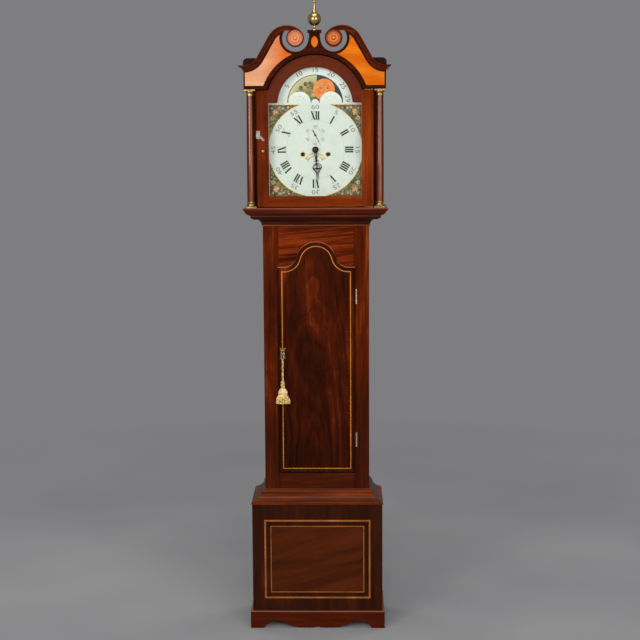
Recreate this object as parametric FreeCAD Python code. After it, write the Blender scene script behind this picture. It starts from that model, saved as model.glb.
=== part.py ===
import FreeCAD, Part
import math
import os

Vector = FreeCAD.Vector

# Longcase clock in millimetres. x runs across, y from the front (negative) to the wall, z up from the floor.

# Case
TRUNK_WIDTH = 371.0
TRUNK_DEPTH = 180.0
TRUNK_HEIGHT = 938.0
TRUNK_SIDE_THICK = 14.0
TRUNK_SINK = 60.0
FRONT_FRAME_THICK = 20.0
BACKBOARD_THICK = 15.0
CAP_REACH = 46.0
BASE_HEIGHT = 453.0
BASE_BOTTOM = 30.0
BASE_FRONT_THICK = 18.0
BASE_SIDE_THICK = 16.0
FLOOR_BOARD_Z = 62.0
FLOOR_BOARD_THICK = 15.0
FOOT_BLOCK = 38.0
SKIRT_HEIGHT = 62.0
SKIRT_THICK = 8.5
SKIRT_ROUND = 4.0
FOOT_WIDTH = 47.0
SKIRT_ARCH_RUN = 37.0
SKIRT_ARCH_RISE = 27.0
SKIRT_LOBE_X = 57.0
SKIRT_LOBE_RISE = 3.0
SKIRT_CUSP_X = 18.0
SKIRT_CUSP_RISE = 11.0
CAP_HEIGHT = 48.0
CAP_LIP = 2.5
THROAT_HEIGHT = 35.0
THROAT_PROJECTION = 40.5
BAND_WIDTH = 6.0
BAND_SIDE_MARGIN = 42.5
BAND_LOW_MARGIN = 46.0
BAND_TOP_MARGIN = 56.0
LINE_WIDTH = 3.0
LINE_INSET = 22.0
INLAY_DEPTH = 1.2
SEAT_DROP = 80.0
SEAT_THICK = 20.0
SEAT_FRONT = 25.0
SEAT_BACK = 152.0

# Trunk door
DOOR_WIDTH = 273.0
DOOR_RISE_FROM_CAP = 58.0
DOOR_ARCH_RISE = 89.0
DOOR_TOP_MARGIN = 54.0
DOOR_SHOULDER = 24.5
DOOR_COVE = 42.0
DOOR_LIP = 6.5
DOOR_LIP_THICK = 8.0
DOOR_BODY_THICK = 12.0
DOOR_EDGE_ROUND = 3.0
DOOR_QUIRK_INSET = 7.0
DOOR_QUIRK = 1.5
DOOR_CLEAR = 1.0
DOOR_LINE_INSET = 15.0
DOOR_LINE_WIDTH = 3.0
HINGE_LENGTH = 52.0
HINGE_KNUCKLE_R = 3.5
HINGE_PIN_R = 1.6
HINGE_LEAF_THICK = 1.4
HINGE_LEAF_WIDTH = 14.0
HINGE_RISE = 95.0
HINGE_DROP = 130.0
HINGE_EDGE_GAP = 0.6
LOCK_INSET = 17.5
LOCK_DROP = 305.0
LOCK_WIDTH = 60.0
LOCK_HEIGHT = 46.0
LOCK_THICK = 16.0
LOCK_EDGE = 1.5
BOLT_LENGTH = 34.0
BOLT_HEIGHT = 9.0
BOLT_THICK = 3.6
BOLT_DROP = 17.0
BOLT_CLEAR = 0.3
KEY_SHANK_R = 2.5
KEY_HOLE_R = 4.0
KEY_BOW_R = 11.0
KEY_BOW_WIRE = 2.2
KEY_BIT = 8.0
ESCUTCHEON_HEIGHT = 44.0
ESCUTCHEON_WIDTH = 22.0
ESCUTCHEON_WAIST = 15.0
ESCUTCHEON_THICK = 1.6

# Tassel on the key
CORD_R = 1.5
CORD_GAP = 0.3
CORD_BEND = 8.0
CORD_STRAND_X = 1.7
TASSEL_TOP_DROP = 96.0
TASSEL_CORD_SINK = 36.0
TASSEL_HEAD_R = 7.5
TASSEL_HEAD_H = 26.0
TASSEL_RUFF_R = 17.5
TASSEL_RUFF_H = 24.0
TASSEL_SKIRT_R = 28.0
TASSEL_SKIRT_H = 31.0
TASSEL_FLATTEN = 0.55
TASSEL_DOOR_GAP = 1.5

# Hood
HOOD_BASE_HEIGHT = 31.0
HOOD_BASE_LIP = 24.0
HOOD_BASE_OVERHANG = 8.0
HOOD_SLIDE_CLEAR = 1.0
COLUMN_HEIGHT = 403.0
COLUMN_PROJECTION = 37.0
COLUMN_R = 13.5
COLUMN_TOP_R = 12.0
MOUNT_PLATE = 38.0
MOUNT_DOOR_GAP = 3.0
MOUNT_PLATE_THICK = 5.0
MOUNT_TURNED_R = 16.0
MOUNT_TURNED_H = 16.0
HOOD_SIDE_SETBACK = 10.0
HOOD_SIDE_THICK = 12.0
HOOD_SIDE_FRONT = 18.0
HOOD_BACK_CLEAR = 0.5
FRIEZE_REVEAL = 1.0
FRIEZE_HEIGHT = 63.0
FRIEZE_PROJECTION = 57.0
FRIEZE_THICK = 22.0
CORNICE_HEIGHT = 17.0
NECK_PROJECTION = 17.0
NECK_SLOPE = 60.0
NECK_FLAT = 1.4
NECK_CROWN_R = 54.0
NECK_CROWN_X = 93.4
NECK_CROWN_RISE = 78.0
NECK_END_ANGLE = 133.0
NECK_BACKING = 8.0
SCROLL_X = 65.0
SCROLL_RISE = 107.0
SCROLL_R = 30.0
SCROLL_BACK = 12.0
SCROLL_CUT_R = 45.0
ROSETTE_R = 26.5
ROSETTE_DEPTH = 7.0
ROSETTE_CLEAR = 0.3
PANEL_SIDE_BAND = 5.0
PANEL_LOW_BAND = 12.0
PANEL_BAND = 15.0
PANEL_NECK_BAND = 7.0
PANEL_SCROLL_BAND = 9.0
PLINTH_HALF_WIDTH = 18.3
PLINTH_JOINT_DROP = 37.0
PLINTH_RISE = 18.0
PLINTH_CAP = 9.0
PLINTH_CAP_OVERHANG = 5.4
OVAL_HEIGHT = 38.0
OVAL_WIDTH = 23.0
OVAL_DROP = 12.0
FINIAL_FOOT_R = 9.0
FINIAL_BALL_R = 23.0
FINIAL_BALL_RISE = 37.0
FINIAL_SPIRE_R = 5.5
FINIAL_KNOP_R = 5.0
FINIAL_KNOP_DROP = 30.0
FINIAL_FOOT_THICK = 2.5
FINIAL_COLLAR_HEIGHT = 4.0
FINIAL_HEIGHT = 125.0
ROOF_OVERHANG = 3.0
ROOF_THICK = 26.0
ROOF_ROUND = 15.0
ROOF_TUNNEL_CLEAR = 12.0
ROOF_TUNNEL_WALL = 10.0
ROOF_MOUTH_WALL = 8.0
MASK_THICK = 10.0
MASK_LAP = 3.0

# Hood door
HOOD_DOOR_STILE = 40.0
HOOD_DOOR_THICK = 22.0
HOOD_DOOR_PROJECTION = 36.0
HOOD_DOOR_GAP = 3.0
HOOD_DOOR_BACK_GAP = 1.5
HOOD_DOOR_RAIL = 36.0
HOOD_DOOR_STEP = 4.0
HOOD_DOOR_STEP_DEPTH = 3.0
SIGHT_LAP = 5.0
SIGHT_SHOULDER = 9.0
SIGHT_ARCH_LAP = 9.0
GLASS_THICK = 2.5
GLASS_LAP = 6.0
GLASS_CLEAR = 0.3
GLASS_BACK = 6.5
STRAP_THICK = 2.0
STRAP_LENGTH = 26.0
STRAP_PIN_R = 2.5
STRAP_PIN_FORWARD = 9.0
STRAP_PIN_INSET = 5.0
STRAP_PIN_REACH = 6.0
LATCH_INSET = 22.0
LATCH_RISE = 34.0
LATCH_ARM = 25.0
LATCH_THICK = 3.0
LATCH_PLATE_WIDTH = 13.0
LATCH_PLATE_HEIGHT = 27.0
LATCH_SCREW_R = 2.4
KNOB_INSET = 20.0
KNOB_DROP = 5.0
KNOB_R = 5.5
KNOB_LENGTH = 13.0

# Dial
DIAL_THICK = 2.0
DIAL_ARCH_SHOULDER = 22.0
DIAL_BEHIND_TRUNK = 5.0
DIAL_CENTRE_RISE = 198.0
ARCH_CENTRE_RISE = 151.0
WINDING_HOLE_R = 7.0
DIAL_FOOT_X = 66.0
DIAL_FOOT_HIGH = 70.0
DIAL_FOOT_LOW = 66.0
DIAL_FOOT_R = 3.0
MOON_WINDOW_R = 94.0
MOON_HUMP_R = 38.7
MOON_HUMP_X = 54.0
MOON_MIDDLE_R = 13.5
MOON_DISC_LAP = 2.0
CALENDAR_DROP = 53.0
CALENDAR_DISC_R = 42.0
CALENDAR_SLOT_R = 36.0
CALENDAR_SLOT = 7.0
CALENDAR_SLOT_ANGLE = 55.0
DISC_THICK = 1.2
DISC_GAP = 0.4
DISC_STUD_R = 3.0
DISC_STUD_HEAD = 5.0

# Movement
PLATE_BEHIND_TRUNK = 35.0
PLATE_THICK = 3.0
PLATE_GAP = 64.0
PLATE_HALF_WIDTH = 72.0
PLATE_ABOVE = 95.0
PILLAR_X = 58.0
PILLAR_HIGH = 85.0
PILLAR_LOW = 70.0
PILLAR_R = 5.0
RUN_CLEAR = 0.05
END_SHAKE = 0.3
ARBOR_R = 1.6
PIVOT_R = 0.9
PINION_LEAVES = 8
GREAT_TEETH = 96
GREAT_MODULE = 0.9
GREAT_THICK = 3.0
GREAT_LAYER = 5.0
GREAT_ANGLE = 110.0
STRIKE_TEETH = 84
PIN_WHEEL_ANGLE = -15.0
PIN_WHEEL_TEETH = 64
PIN_WHEEL_MODULE = 0.85
PIN_COUNT = 8
PIN_CIRCLE_R = 24.0
PIN_R = 1.0
PIN_LENGTH = 3.0
CENTRE_TEETH = 64
CENTRE_MODULE = 0.9
CENTRE_LAYER = 53.0
THIRD_TEETH = 60
THIRD_MODULE = 0.85
THIRD_LAYER = 59.0
WHEEL_THICK = 2.0
WHEEL_HUB_R = 5.0
PINION_LENGTH = 5.0
ESCAPE_RISE = 50.0
ESCAPE_TEETH = 30
ESCAPE_R = 20.0
ESCAPE_ROOT_R = 16.5
ESCAPE_LAYER = 40.0
ANCHOR_RISE = 28.3
ANCHOR_SPREAD = 19.0
ANCHOR_DROP = 13.0
ANCHOR_THICK = 4.0
CRUTCH_LENGTH = 90.0
CRUTCH_R = 1.4
CRUTCH_BACK = 6.0
DRUM_R = 25.0
DRUM_FRONT = 11.0
DRUM_LENGTH = 38.0
BARREL_ARBOR_R = 4.5
SQUARE = 5.6
CANNON_TEETH = 36
CANNON_MODULE = 0.8
MINUTE_LEAVES = 6
HOUR_TEETH = 72
MINUTE_STUD_R = 0.8
CENTRE_ARBOR_R = 2.0
CANNON_PIPE_R = 3.5
HOUR_PIPE_R = 5.0
MOTION_GAP = 3.0
HAND_THICK = 1.2
HOUR_HAND_OFF = 4.0
MINUTE_HAND_OFF = 8.0
SECONDS_HAND_OFF = 1.7
SECONDS_ARBOR_R = 1.0
HOUR_HAND_LENGTH = 105.0
MINUTE_HAND_LENGTH = 140.0
SECONDS_HAND_LENGTH = 38.0
SECONDS_HAND_TAIL = 19.0
HOUR_HAND_ANGLE = 174.0
MINUTE_HAND_ANGLE = 177.0
SECONDS_HAND_ANGLE = 152.0
HOUR_HOOP_R = 15.5
HOUR_HOOP_RISE = 62.0
MINUTE_HOOP_R = 13.5
MINUTE_HOOP_RISE = 64.0
HAND_BAR = 2.0
HAND_POINT = 0.4
HAND_BOSS_R = 11.0

# Pendulum
PENDULUM_BEHIND_TRUNK = 134.0
PENDULUM_LENGTH = 994.0
ROD_R = 2.2
SPRING_WIDTH = 8.0
SPRING_THICK = 0.6
SPRING_LENGTH = 20.0
BOB_R = 55.0
BOB_THICK = 34.0
NUT_R = 7.0
NUT_HEIGHT = 9.0
COCK_WIDTH = 24.0
COCK_HEIGHT = 8.0
COCK_GAP = 0.3

# Bell and hammer
BELL_X = -20.0
BELL_R = 45.0
BELL_HEIGHT = 38.0
BELL_WALL = 2.5
BELL_RISE = 108.0
BELL_ROD_R = 2.5
BELL_FOOT = 12.0
HAMMER_X = -66.0
HAMMER_RISE = 62.0
HAMMER_LAYER = 51.3
HAMMER_TAIL = 12.0
HAMMER_HEAD_R = 5.0
HAMMER_HEAD_LENGTH = 16.0
HAMMER_GAP = 2.5
HAMMER_BAR = 3.0
HAMMER_ARM = 50.0

# Weights
LINE_R = 0.8
LINE_GAP = 0.3
LINE_HOLE_R = 1.4
PULLEY_R = 25.0
PULLEY_FLANGE = 4.0
PULLEY_WIDTH = 9.0
PULLEY_AXLE_R = 2.5
STIRRUP_THICK = 2.0
STIRRUP_GAP = 0.3
STIRRUP_DROP = 44.0
STIRRUP_WIDTH = 8.0
STIRRUP_FOOT = 4.0
STIRRUP_RISE = 6.0
WEIGHT_R = 38.0
WEIGHT_HEIGHT = 190.0
WEIGHT_ROUND = 4.0
GOING_PULLEY_DROP = 423.0
STRIKE_PULLEY_DROP = 363.0

# Places worked out from the sizes
TRUNK_HALF = TRUNK_WIDTH / 2
BASE_HALF = TRUNK_HALF + CAP_REACH
HORN_PROJECTION = FRIEZE_PROJECTION + NECK_PROJECTION
Y_WALL = (TRUNK_DEPTH + HORN_PROJECTION) / 2
Y_TRUNK = Y_WALL - TRUNK_DEPTH
Y_BACK = Y_WALL - BACKBOARD_THICK
Y_BASE = Y_TRUNK - CAP_REACH
Y_FRIEZE = Y_TRUNK - FRIEZE_PROJECTION
FOOT_X = BASE_HALF + SKIRT_THICK - FOOT_WIDTH
SKIRT_ARCH_X = FOOT_X - SKIRT_ARCH_RUN
BAND_HALF_WIDTH = BASE_HALF - BAND_SIDE_MARGIN
BAND_BOTTOM = SKIRT_HEIGHT + BAND_LOW_MARGIN
BAND_TOP = BASE_HEIGHT - BAND_TOP_MARGIN
CAP_TOP = BASE_HEIGHT + CAP_HEIGHT
THROAT_Z = CAP_TOP + TRUNK_HEIGHT
TRUNK_TOP = THROAT_Z + THROAT_HEIGHT
HOOD_BASE_TOP = TRUNK_TOP + HOOD_BASE_HEIGHT
FRIEZE_Z = HOOD_BASE_TOP + COLUMN_HEIGHT
CORNICE_Z = FRIEZE_Z + FRIEZE_HEIGHT
HORN_TOP = CORNICE_Z + CORNICE_HEIGHT
FRIEZE_HALF_WIDTH = TRUNK_HALF + THROAT_PROJECTION + HOOD_BASE_LIP - HOOD_BASE_OVERHANG
COLUMN_X = FRIEZE_HALF_WIDTH - FRIEZE_REVEAL - MOUNT_PLATE / 2
HOOD_DOOR_HALF = COLUMN_X - MOUNT_PLATE / 2 - MOUNT_DOOR_GAP
SIGHT_HALF_WIDTH = HOOD_DOOR_HALF - HOOD_DOOR_STILE
DIAL_HALF = SIGHT_HALF_WIDTH + SIGHT_LAP
DIAL_ARCH_R = SIGHT_HALF_WIDTH - DIAL_ARCH_SHOULDER
SIGHT_ARCH_R = DIAL_ARCH_R - SIGHT_ARCH_LAP
HOOD_DOOR_ARCH_R = SIGHT_ARCH_R + HOOD_DOOR_STILE
BOARD_ARCH_R = HOOD_DOOR_ARCH_R + HOOD_DOOR_GAP
HOOD_SIDE_X = FRIEZE_HALF_WIDTH - HOOD_SIDE_SETBACK
ROOF_HALF_WIDTH = FRIEZE_HALF_WIDTH + ROOF_OVERHANG
ROOF_TUNNEL_R = DIAL_ARCH_R + ROOF_TUNNEL_CLEAR
SCROLL_Z = CORNICE_Z + SCROLL_RISE
NECK_CROWN_Z = CORNICE_Z + NECK_CROWN_RISE
NECK_TURN = math.radians(NECK_SLOPE)
NECK_LOW_X = NECK_CROWN_X + NECK_CROWN_R * math.sin(NECK_TURN)
NECK_LOW_Z = NECK_CROWN_Z + NECK_CROWN_R * math.cos(NECK_TURN)
NECK_COVE_X = FRIEZE_HALF_WIDTH - NECK_FLAT
NECK_FOOT_X = NECK_LOW_X + (NECK_LOW_Z - CORNICE_Z) / math.tan(NECK_TURN)
NECK_COVE_R = (NECK_COVE_X - NECK_FOOT_X) / math.tan(NECK_TURN / 2)
PLINTH_TOP = SCROLL_Z + PLINTH_RISE
FINIAL_Z = PLINTH_TOP + PLINTH_CAP
DIAL_Z = HOOD_BASE_TOP + DIAL_CENTRE_RISE
ARCH_Z = DIAL_Z + ARCH_CENTRE_RISE
DIAL_Y = Y_TRUNK + DIAL_BEHIND_TRUNK
DIAL_BACK_Y = DIAL_Y + DIAL_THICK
PLATE_Y = Y_TRUNK + PLATE_BEHIND_TRUNK
TRAIN_Y = PLATE_Y + PLATE_THICK
BACK_PLATE_Y = TRAIN_Y + PLATE_GAP
SEAT_TOP = DIAL_Z - SEAT_DROP
SEAT_Z = SEAT_TOP - SEAT_THICK
GOING_PULLEY_Z = SEAT_Z - GOING_PULLEY_DROP
STRIKE_PULLEY_Z = SEAT_Z - STRIKE_PULLEY_DROP
DOOR_Z = CAP_TOP + DOOR_RISE_FROM_CAP
DOOR_SHOULDER_Z = THROAT_Z - DOOR_TOP_MARGIN - DOOR_ARCH_RISE
KEY_X = LOCK_INSET - DOOR_WIDTH / 2
KEY_Z = DOOR_SHOULDER_Z - LOCK_DROP
DOOR_FRONT_Y = Y_TRUNK - DOOR_LIP_THICK
DOOR_BACK_Y = Y_TRUNK + DOOR_BODY_THICK
HINGE_X = DOOR_WIDTH / 2 + HINGE_EDGE_GAP + HINGE_KNUCKLE_R
HINGE_Y = Y_TRUNK - HINGE_KNUCKLE_R - HINGE_EDGE_GAP
TASSEL_Y = DOOR_FRONT_Y - TASSEL_SKIRT_R * TASSEL_FLATTEN - TASSEL_DOOR_GAP
HOOD_DOOR_Y = Y_TRUNK - HOOD_DOOR_PROJECTION
HOOD_DOOR_BACK = HOOD_DOOR_Y + HOOD_DOOR_THICK
HOOD_DOOR_BOTTOM = HOOD_BASE_TOP + HOOD_DOOR_GAP
HOOD_DOOR_SHOULDER = FRIEZE_Z - HOOD_DOOR_GAP
SIGHT_BOTTOM = HOOD_DOOR_BOTTOM + HOOD_DOOR_RAIL
SIGHT_TOP = ARCH_Z + SIGHT_SHOULDER
STRAP_X = HOOD_DOOR_HALF - STRAP_PIN_INSET
STRAP_Y = HOOD_DOOR_Y - STRAP_PIN_FORWARD
LATCH_X = HOOD_DOOR_HALF - LATCH_INSET
LATCH_Z = DIAL_Z + LATCH_RISE
KNOB_X = HOOD_DOOR_HALF - KNOB_INSET
MOON_Z = SIGHT_TOP
MOON_DISC_R = MOON_WINDOW_R + MOON_DISC_LAP
MASK_Y = HOOD_DOOR_BACK + HOOD_DOOR_BACK_GAP
COLUMN_Y = Y_TRUNK - COLUMN_PROJECTION
GREAT_DISTANCE = GREAT_MODULE * (GREAT_TEETH + PINION_LEAVES) / 2
STRIKE_DISTANCE = GREAT_MODULE * (STRIKE_TEETH + PINION_LEAVES) / 2
CENTRE_DISTANCE = CENTRE_MODULE * (CENTRE_TEETH + PINION_LEAVES) / 2
THIRD_DISTANCE = THIRD_MODULE * (THIRD_TEETH + PINION_LEAVES) / 2
MOTION_DISTANCE = CANNON_MODULE * CANNON_TEETH
HOUR_MODULE = 2 * MOTION_DISTANCE / (HOUR_TEETH + MINUTE_LEAVES)
CANNON_Y = PLATE_Y - MOTION_GAP - WHEEL_THICK
HOUR_WHEEL_Y = CANNON_Y - 2 * WHEEL_THICK
ESCAPE_Z = DIAL_Z + ESCAPE_RISE
ANCHOR_Z = ESCAPE_Z + ANCHOR_RISE
PENDULUM_Y = Y_TRUNK + PENDULUM_BEHIND_TRUNK
CALENDAR_Z = DIAL_Z - CALENDAR_DROP
LINE_Y = TRAIN_Y + DRUM_FRONT + DRUM_LENGTH / 2
LINE_SPREAD = PULLEY_R + LINE_R + LINE_GAP


def clock_point(x, z, radius, angle):
    """Point at a distance and a clockwise angle from twelve o'clock, in degrees."""
    turn = math.radians(angle)
    return x + radius * math.sin(turn), z + radius * math.cos(turn)


BARREL_X, BARREL_Z = clock_point(0, DIAL_Z, GREAT_DISTANCE, GREAT_ANGLE)
PIN_WHEEL_X, PIN_WHEEL_Z = clock_point(-BARREL_X, BARREL_Z, STRIKE_DISTANCE, PIN_WHEEL_ANGLE)
THIRD_ANGLE = math.degrees(math.acos((CENTRE_DISTANCE ** 2 + ESCAPE_RISE ** 2 - THIRD_DISTANCE ** 2)
                                     / (2 * CENTRE_DISTANCE * ESCAPE_RISE)))
THIRD_X, THIRD_Z = clock_point(0, DIAL_Z, CENTRE_DISTANCE, THIRD_ANGLE)


def block(x0, x1, y0, y1, z0, z1):
    """Box between two corners."""
    return Part.makeBox(x1 - x0, y1 - y0, z1 - z0, Vector(x0, y0, z0))


def rod_x(x0, x1, y, z, radius):
    """Round bar along x."""
    return Part.makeCylinder(radius, x1 - x0, Vector(x0, y, z), Vector(1, 0, 0))


def rod_y(x, z, radius, y0, y1):
    """Round bar along y."""
    return Part.makeCylinder(radius, y1 - y0, Vector(x, y0, z), Vector(0, 1, 0))


def rod_z(x, y, radius, z0, z1):
    """Round bar along z."""
    return Part.makeCylinder(radius, z1 - z0, Vector(x, y, z0), Vector(0, 0, 1))


def mirrored(shape):
    """The same piece on the other side of the clock."""
    return shape.mirror(Vector(0, 0, 0), Vector(1, 0, 0))


def both_sides(shape):
    """A piece and its mirror image."""
    return [shape, mirrored(shape)]


def fused(first, *others):
    """One solid out of overlapping pieces."""
    return first.fuse(list(others)).removeSplitter() if others else first


def face_of(steps, place):
    """Face bounded by line steps (a, b) and arc steps ((a, b) on the way, (a, b) at the end)."""
    edges = []
    here = steps[0]
    for step in list(steps[1:]) + [steps[0]]:
        through, end = step if isinstance(step[0], tuple) else (None, step)
        start_point = place(*here)
        end_point = place(*end)
        if through:
            edges.append(Part.Arc(start_point, place(*through), end_point).toShape())
        elif start_point.distanceToPoint(end_point) > 1e-6:
            edges.append(Part.makeLine(start_point, end_point))
        here = end
    return Part.Face(Part.Wire(edges))


def front_prism(steps, y0, y1):
    """Outline in (x, z) carried from y0 to y1."""
    return face_of(steps, lambda x, z: Vector(x, y0, z)).extrude(Vector(0, y1 - y0, 0))


def side_prism(steps, x0, x1):
    """Outline in (y, z) carried from x0 to x1."""
    return face_of(steps, lambda y, z: Vector(x0, y, z)).extrude(Vector(x1 - x0, 0, 0))


def turned_z(x, y, z, steps):
    """Lathe work about a vertical axis, from an outline in (radius, height)."""
    face = face_of(steps, lambda radius, height: Vector(x + radius, y, z + height))
    return face.revolve(Vector(x, y, z), Vector(0, 0, 1), 360)


def turned_y(x, y, z, steps):
    """Lathe work about an axis to the front, from an outline in (radius, distance to the front)."""
    face = face_of(steps, lambda radius, forward: Vector(x + radius, y - forward, z))
    return face.revolve(Vector(x, y, z), Vector(0, 1, 0), 360)


def miter_wedge(half_width, y_front):
    """All that lies in front of the two 45 degree planes through a case's front corners."""
    reach = half_width - 1
    corners = ((-half_width + reach, y_front + reach), (half_width - reach, y_front + reach),
               (half_width + reach, y_front - reach), (-half_width - reach, y_front - reach))
    face = face_of(corners, lambda x, y: Vector(x, y, 0))
    return face.extrude(Vector(0, 0, FINIAL_Z + FINIAL_HEIGHT))


def mitered(steps, half_width, y_front, y_end, z):
    """Moulding round the front and two sides of a box, from a profile in (out, up)."""
    wedge = miter_wedge(half_width, y_front)
    reach = 2 * half_width
    front_face = face_of(steps, lambda out, up: Vector(-reach, y_front - out, z + up))
    front = front_face.extrude(Vector(2 * reach, 0, 0)).common(wedge)
    ahead = half_width / 2
    side_face = face_of(steps, lambda out, up: Vector(half_width + out, y_front - ahead, z + up))
    side = side_face.extrude(Vector(0, y_end - y_front + ahead, 0)).cut(wedge)
    return [front] + both_sides(side)


def arched(half_width, bottom, shoulder, radius):
    """Break-arch outline: a rectangle with a round head about the arch centre of the dial."""
    spring = math.sqrt(radius ** 2 - (shoulder - ARCH_Z) ** 2)
    return ((-half_width, bottom), (-half_width, shoulder), (-spring, shoulder),
            ((0.0, ARCH_Z + radius), (spring, shoulder)), (half_width, shoulder), (half_width, bottom))


def frame_outline(half_width, bottom, top):
    """Plain rectangle about the middle of the clock."""
    return ((-half_width, bottom), (half_width, bottom), (half_width, top), (-half_width, top))


# Base

def skirt_opening():
    """Shaped gap under the front skirt, between the feet."""
    bracket = (SKIRT_ARCH_RUN ** 2 + SKIRT_ARCH_RISE ** 2) / (2 * SKIRT_ARCH_RISE)
    half_run = (SKIRT_ARCH_X - SKIRT_LOBE_X) / 2
    half_fall = (SKIRT_ARCH_RISE - SKIRT_LOBE_RISE) / 2
    swing = (half_run ** 2 + half_fall ** 2) / (2 * half_fall)
    part_turn = math.degrees(math.asin(half_run / swing)) / 2
    foot_turn = math.degrees(math.asin(SKIRT_ARCH_RUN / bracket)) / 2
    cusp_rise = SKIRT_CUSP_RISE - SKIRT_LOBE_RISE
    cusp = (SKIRT_CUSP_X ** 2 + cusp_rise ** 2) / (2 * cusp_rise)
    cusp_turn = math.degrees(math.asin(SKIRT_CUSP_X / cusp)) / 2
    middle = (SKIRT_ARCH_X - half_run, SKIRT_ARCH_RISE - half_fall)
    right = [(FOOT_X, -SKIRT_HEIGHT), (FOOT_X, 0.0),
             (clock_point(SKIRT_ARCH_X, SKIRT_ARCH_RISE - bracket, bracket, foot_turn),
              (SKIRT_ARCH_X, SKIRT_ARCH_RISE)),
             (clock_point(SKIRT_ARCH_X, SKIRT_ARCH_RISE - swing, swing, -part_turn), middle),
             (clock_point(SKIRT_LOBE_X, SKIRT_LOBE_RISE + swing, swing, 180 - part_turn),
              (SKIRT_LOBE_X, SKIRT_LOBE_RISE)),
             (SKIRT_CUSP_X, SKIRT_LOBE_RISE),
             (clock_point(SKIRT_CUSP_X, SKIRT_LOBE_RISE + cusp, cusp, 180 + cusp_turn),
              (0.0, SKIRT_CUSP_RISE)),
             (0.0, -SKIRT_HEIGHT)]
    half = front_prism(right, Y_BASE - 2 * SKIRT_THICK, Y_BASE + SKIRT_THICK)
    return half.fuse(mirrored(half))


def side_opening():
    """Gap under each side of the skirt."""
    front = Y_BASE - SKIRT_THICK + FOOT_WIDTH
    back = Y_WALL - FOOT_WIDTH
    radius = SKIRT_ARCH_RISE
    steps = ((front, -SKIRT_HEIGHT), (front, 0.0),
             ((front + radius * (1 - math.sqrt(0.5)), radius * math.sqrt(0.5)), (front + radius, radius)),
             (back - radius, radius),
             ((back - radius * (1 - math.sqrt(0.5)), radius * math.sqrt(0.5)), (back, 0.0)),
             (back, -SKIRT_HEIGHT))
    return side_prism(steps, -2 * BASE_HALF, 2 * BASE_HALF)


def bracket_skirt():
    """Skirt with bracket feet, mitered at the front corners."""
    corner = SKIRT_ROUND * math.sqrt(0.5)
    profile = ((0.0, 0.0), (SKIRT_THICK, 0.0), (SKIRT_THICK, SKIRT_HEIGHT - SKIRT_ROUND),
               ((SKIRT_THICK - SKIRT_ROUND + corner, SKIRT_HEIGHT - SKIRT_ROUND + corner),
                (SKIRT_THICK - SKIRT_ROUND, SKIRT_HEIGHT)), (0.0, SKIRT_HEIGHT))
    front, right, left = mitered(profile, BASE_HALF, Y_BASE, Y_WALL, 0.0)
    side_gap = side_opening()
    return [front.cut(skirt_opening()), right.cut(side_gap), left.cut(side_gap)]


def inlay_frame(half_width, bottom, top, width):
    """Rectangular strip let into the base front."""
    outer = front_prism(frame_outline(half_width, bottom, top), Y_BASE, Y_BASE + INLAY_DEPTH)
    inner = front_prism(frame_outline(half_width - width, bottom + width, top - width),
                        Y_BASE, Y_BASE + INLAY_DEPTH)
    return outer.cut(inner)


def base_stringing():
    """Broad band and thin line on the base front."""
    band = inlay_frame(BAND_HALF_WIDTH, BAND_BOTTOM, BAND_TOP, BAND_WIDTH)
    line = inlay_frame(BAND_HALF_WIDTH - LINE_INSET, BAND_BOTTOM + LINE_INSET, BAND_TOP - LINE_INSET,
                       LINE_WIDTH)
    return [band, line]


def base_carcass():
    """Base boards and the blocks behind the feet."""
    inner = BASE_HALF - BASE_SIDE_THICK
    behind_front = Y_BASE + BASE_FRONT_THICK
    front = block(-BASE_HALF, BASE_HALF, Y_BASE, behind_front, BASE_BOTTOM, BASE_HEIGHT)
    front = front.cut(base_stringing())
    side = block(inner, BASE_HALF, behind_front, Y_BACK, BASE_BOTTOM, BASE_HEIGHT)
    floor = block(-inner, inner, behind_front, Y_BACK, FLOOR_BOARD_Z, FLOOR_BOARD_Z + FLOOR_BOARD_THICK)
    front_foot = block(BASE_HALF - FOOT_BLOCK, BASE_HALF, Y_BASE, Y_BASE + FOOT_BLOCK, 0.0, BASE_BOTTOM)
    back_foot = block(BASE_HALF - FOOT_BLOCK, BASE_HALF, Y_BACK - FOOT_BLOCK, Y_BACK, 0.0, BASE_BOTTOM)
    return [front, floor] + both_sides(side) + both_sides(front_foot) + both_sides(back_foot)


def base_cap_molding():
    """Stepped moulding between base and trunk."""
    lip = CAP_REACH + CAP_LIP
    rise = CAP_HEIGHT
    profile = ((0.0, 0.0), (lip, 0.0), (lip, 0.1 * rise), ((lip - 1.2, 0.16 * rise), (lip - 4, 0.17 * rise)),
               (lip - 4, 0.23 * rise), ((0.5 * lip, 0.38 * rise), (0.3 * lip, 0.69 * rise)),
               (0.3 * lip, 0.73 * rise), ((0.26 * lip, 0.84 * rise), (0.15 * lip, 0.9 * rise)),
               (0.15 * lip, 0.92 * rise), ((0.12 * lip, 0.98 * rise), (0.05 * lip, rise)), (0.0, rise))
    return mitered(profile, TRUNK_HALF, Y_TRUNK, Y_WALL, BASE_HEIGHT)


# Trunk

def backboard():
    """Three boards against the wall, behind the base, the trunk and the hood."""
    base = block(-BASE_HALF, BASE_HALF, Y_BACK, Y_WALL, BASE_BOTTOM, BASE_HEIGHT)
    trunk = block(-TRUNK_HALF, TRUNK_HALF, Y_BACK, Y_WALL, BASE_HEIGHT, HOOD_BASE_TOP)
    hood_half = HOOD_SIDE_X - HOOD_SIDE_THICK / 2
    hood = front_prism(arched(hood_half, HOOD_BASE_TOP, HORN_TOP, ROOF_TUNNEL_R + ROOF_TUNNEL_WALL),
                       Y_BACK, Y_WALL)
    return [base, trunk, hood]


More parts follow.
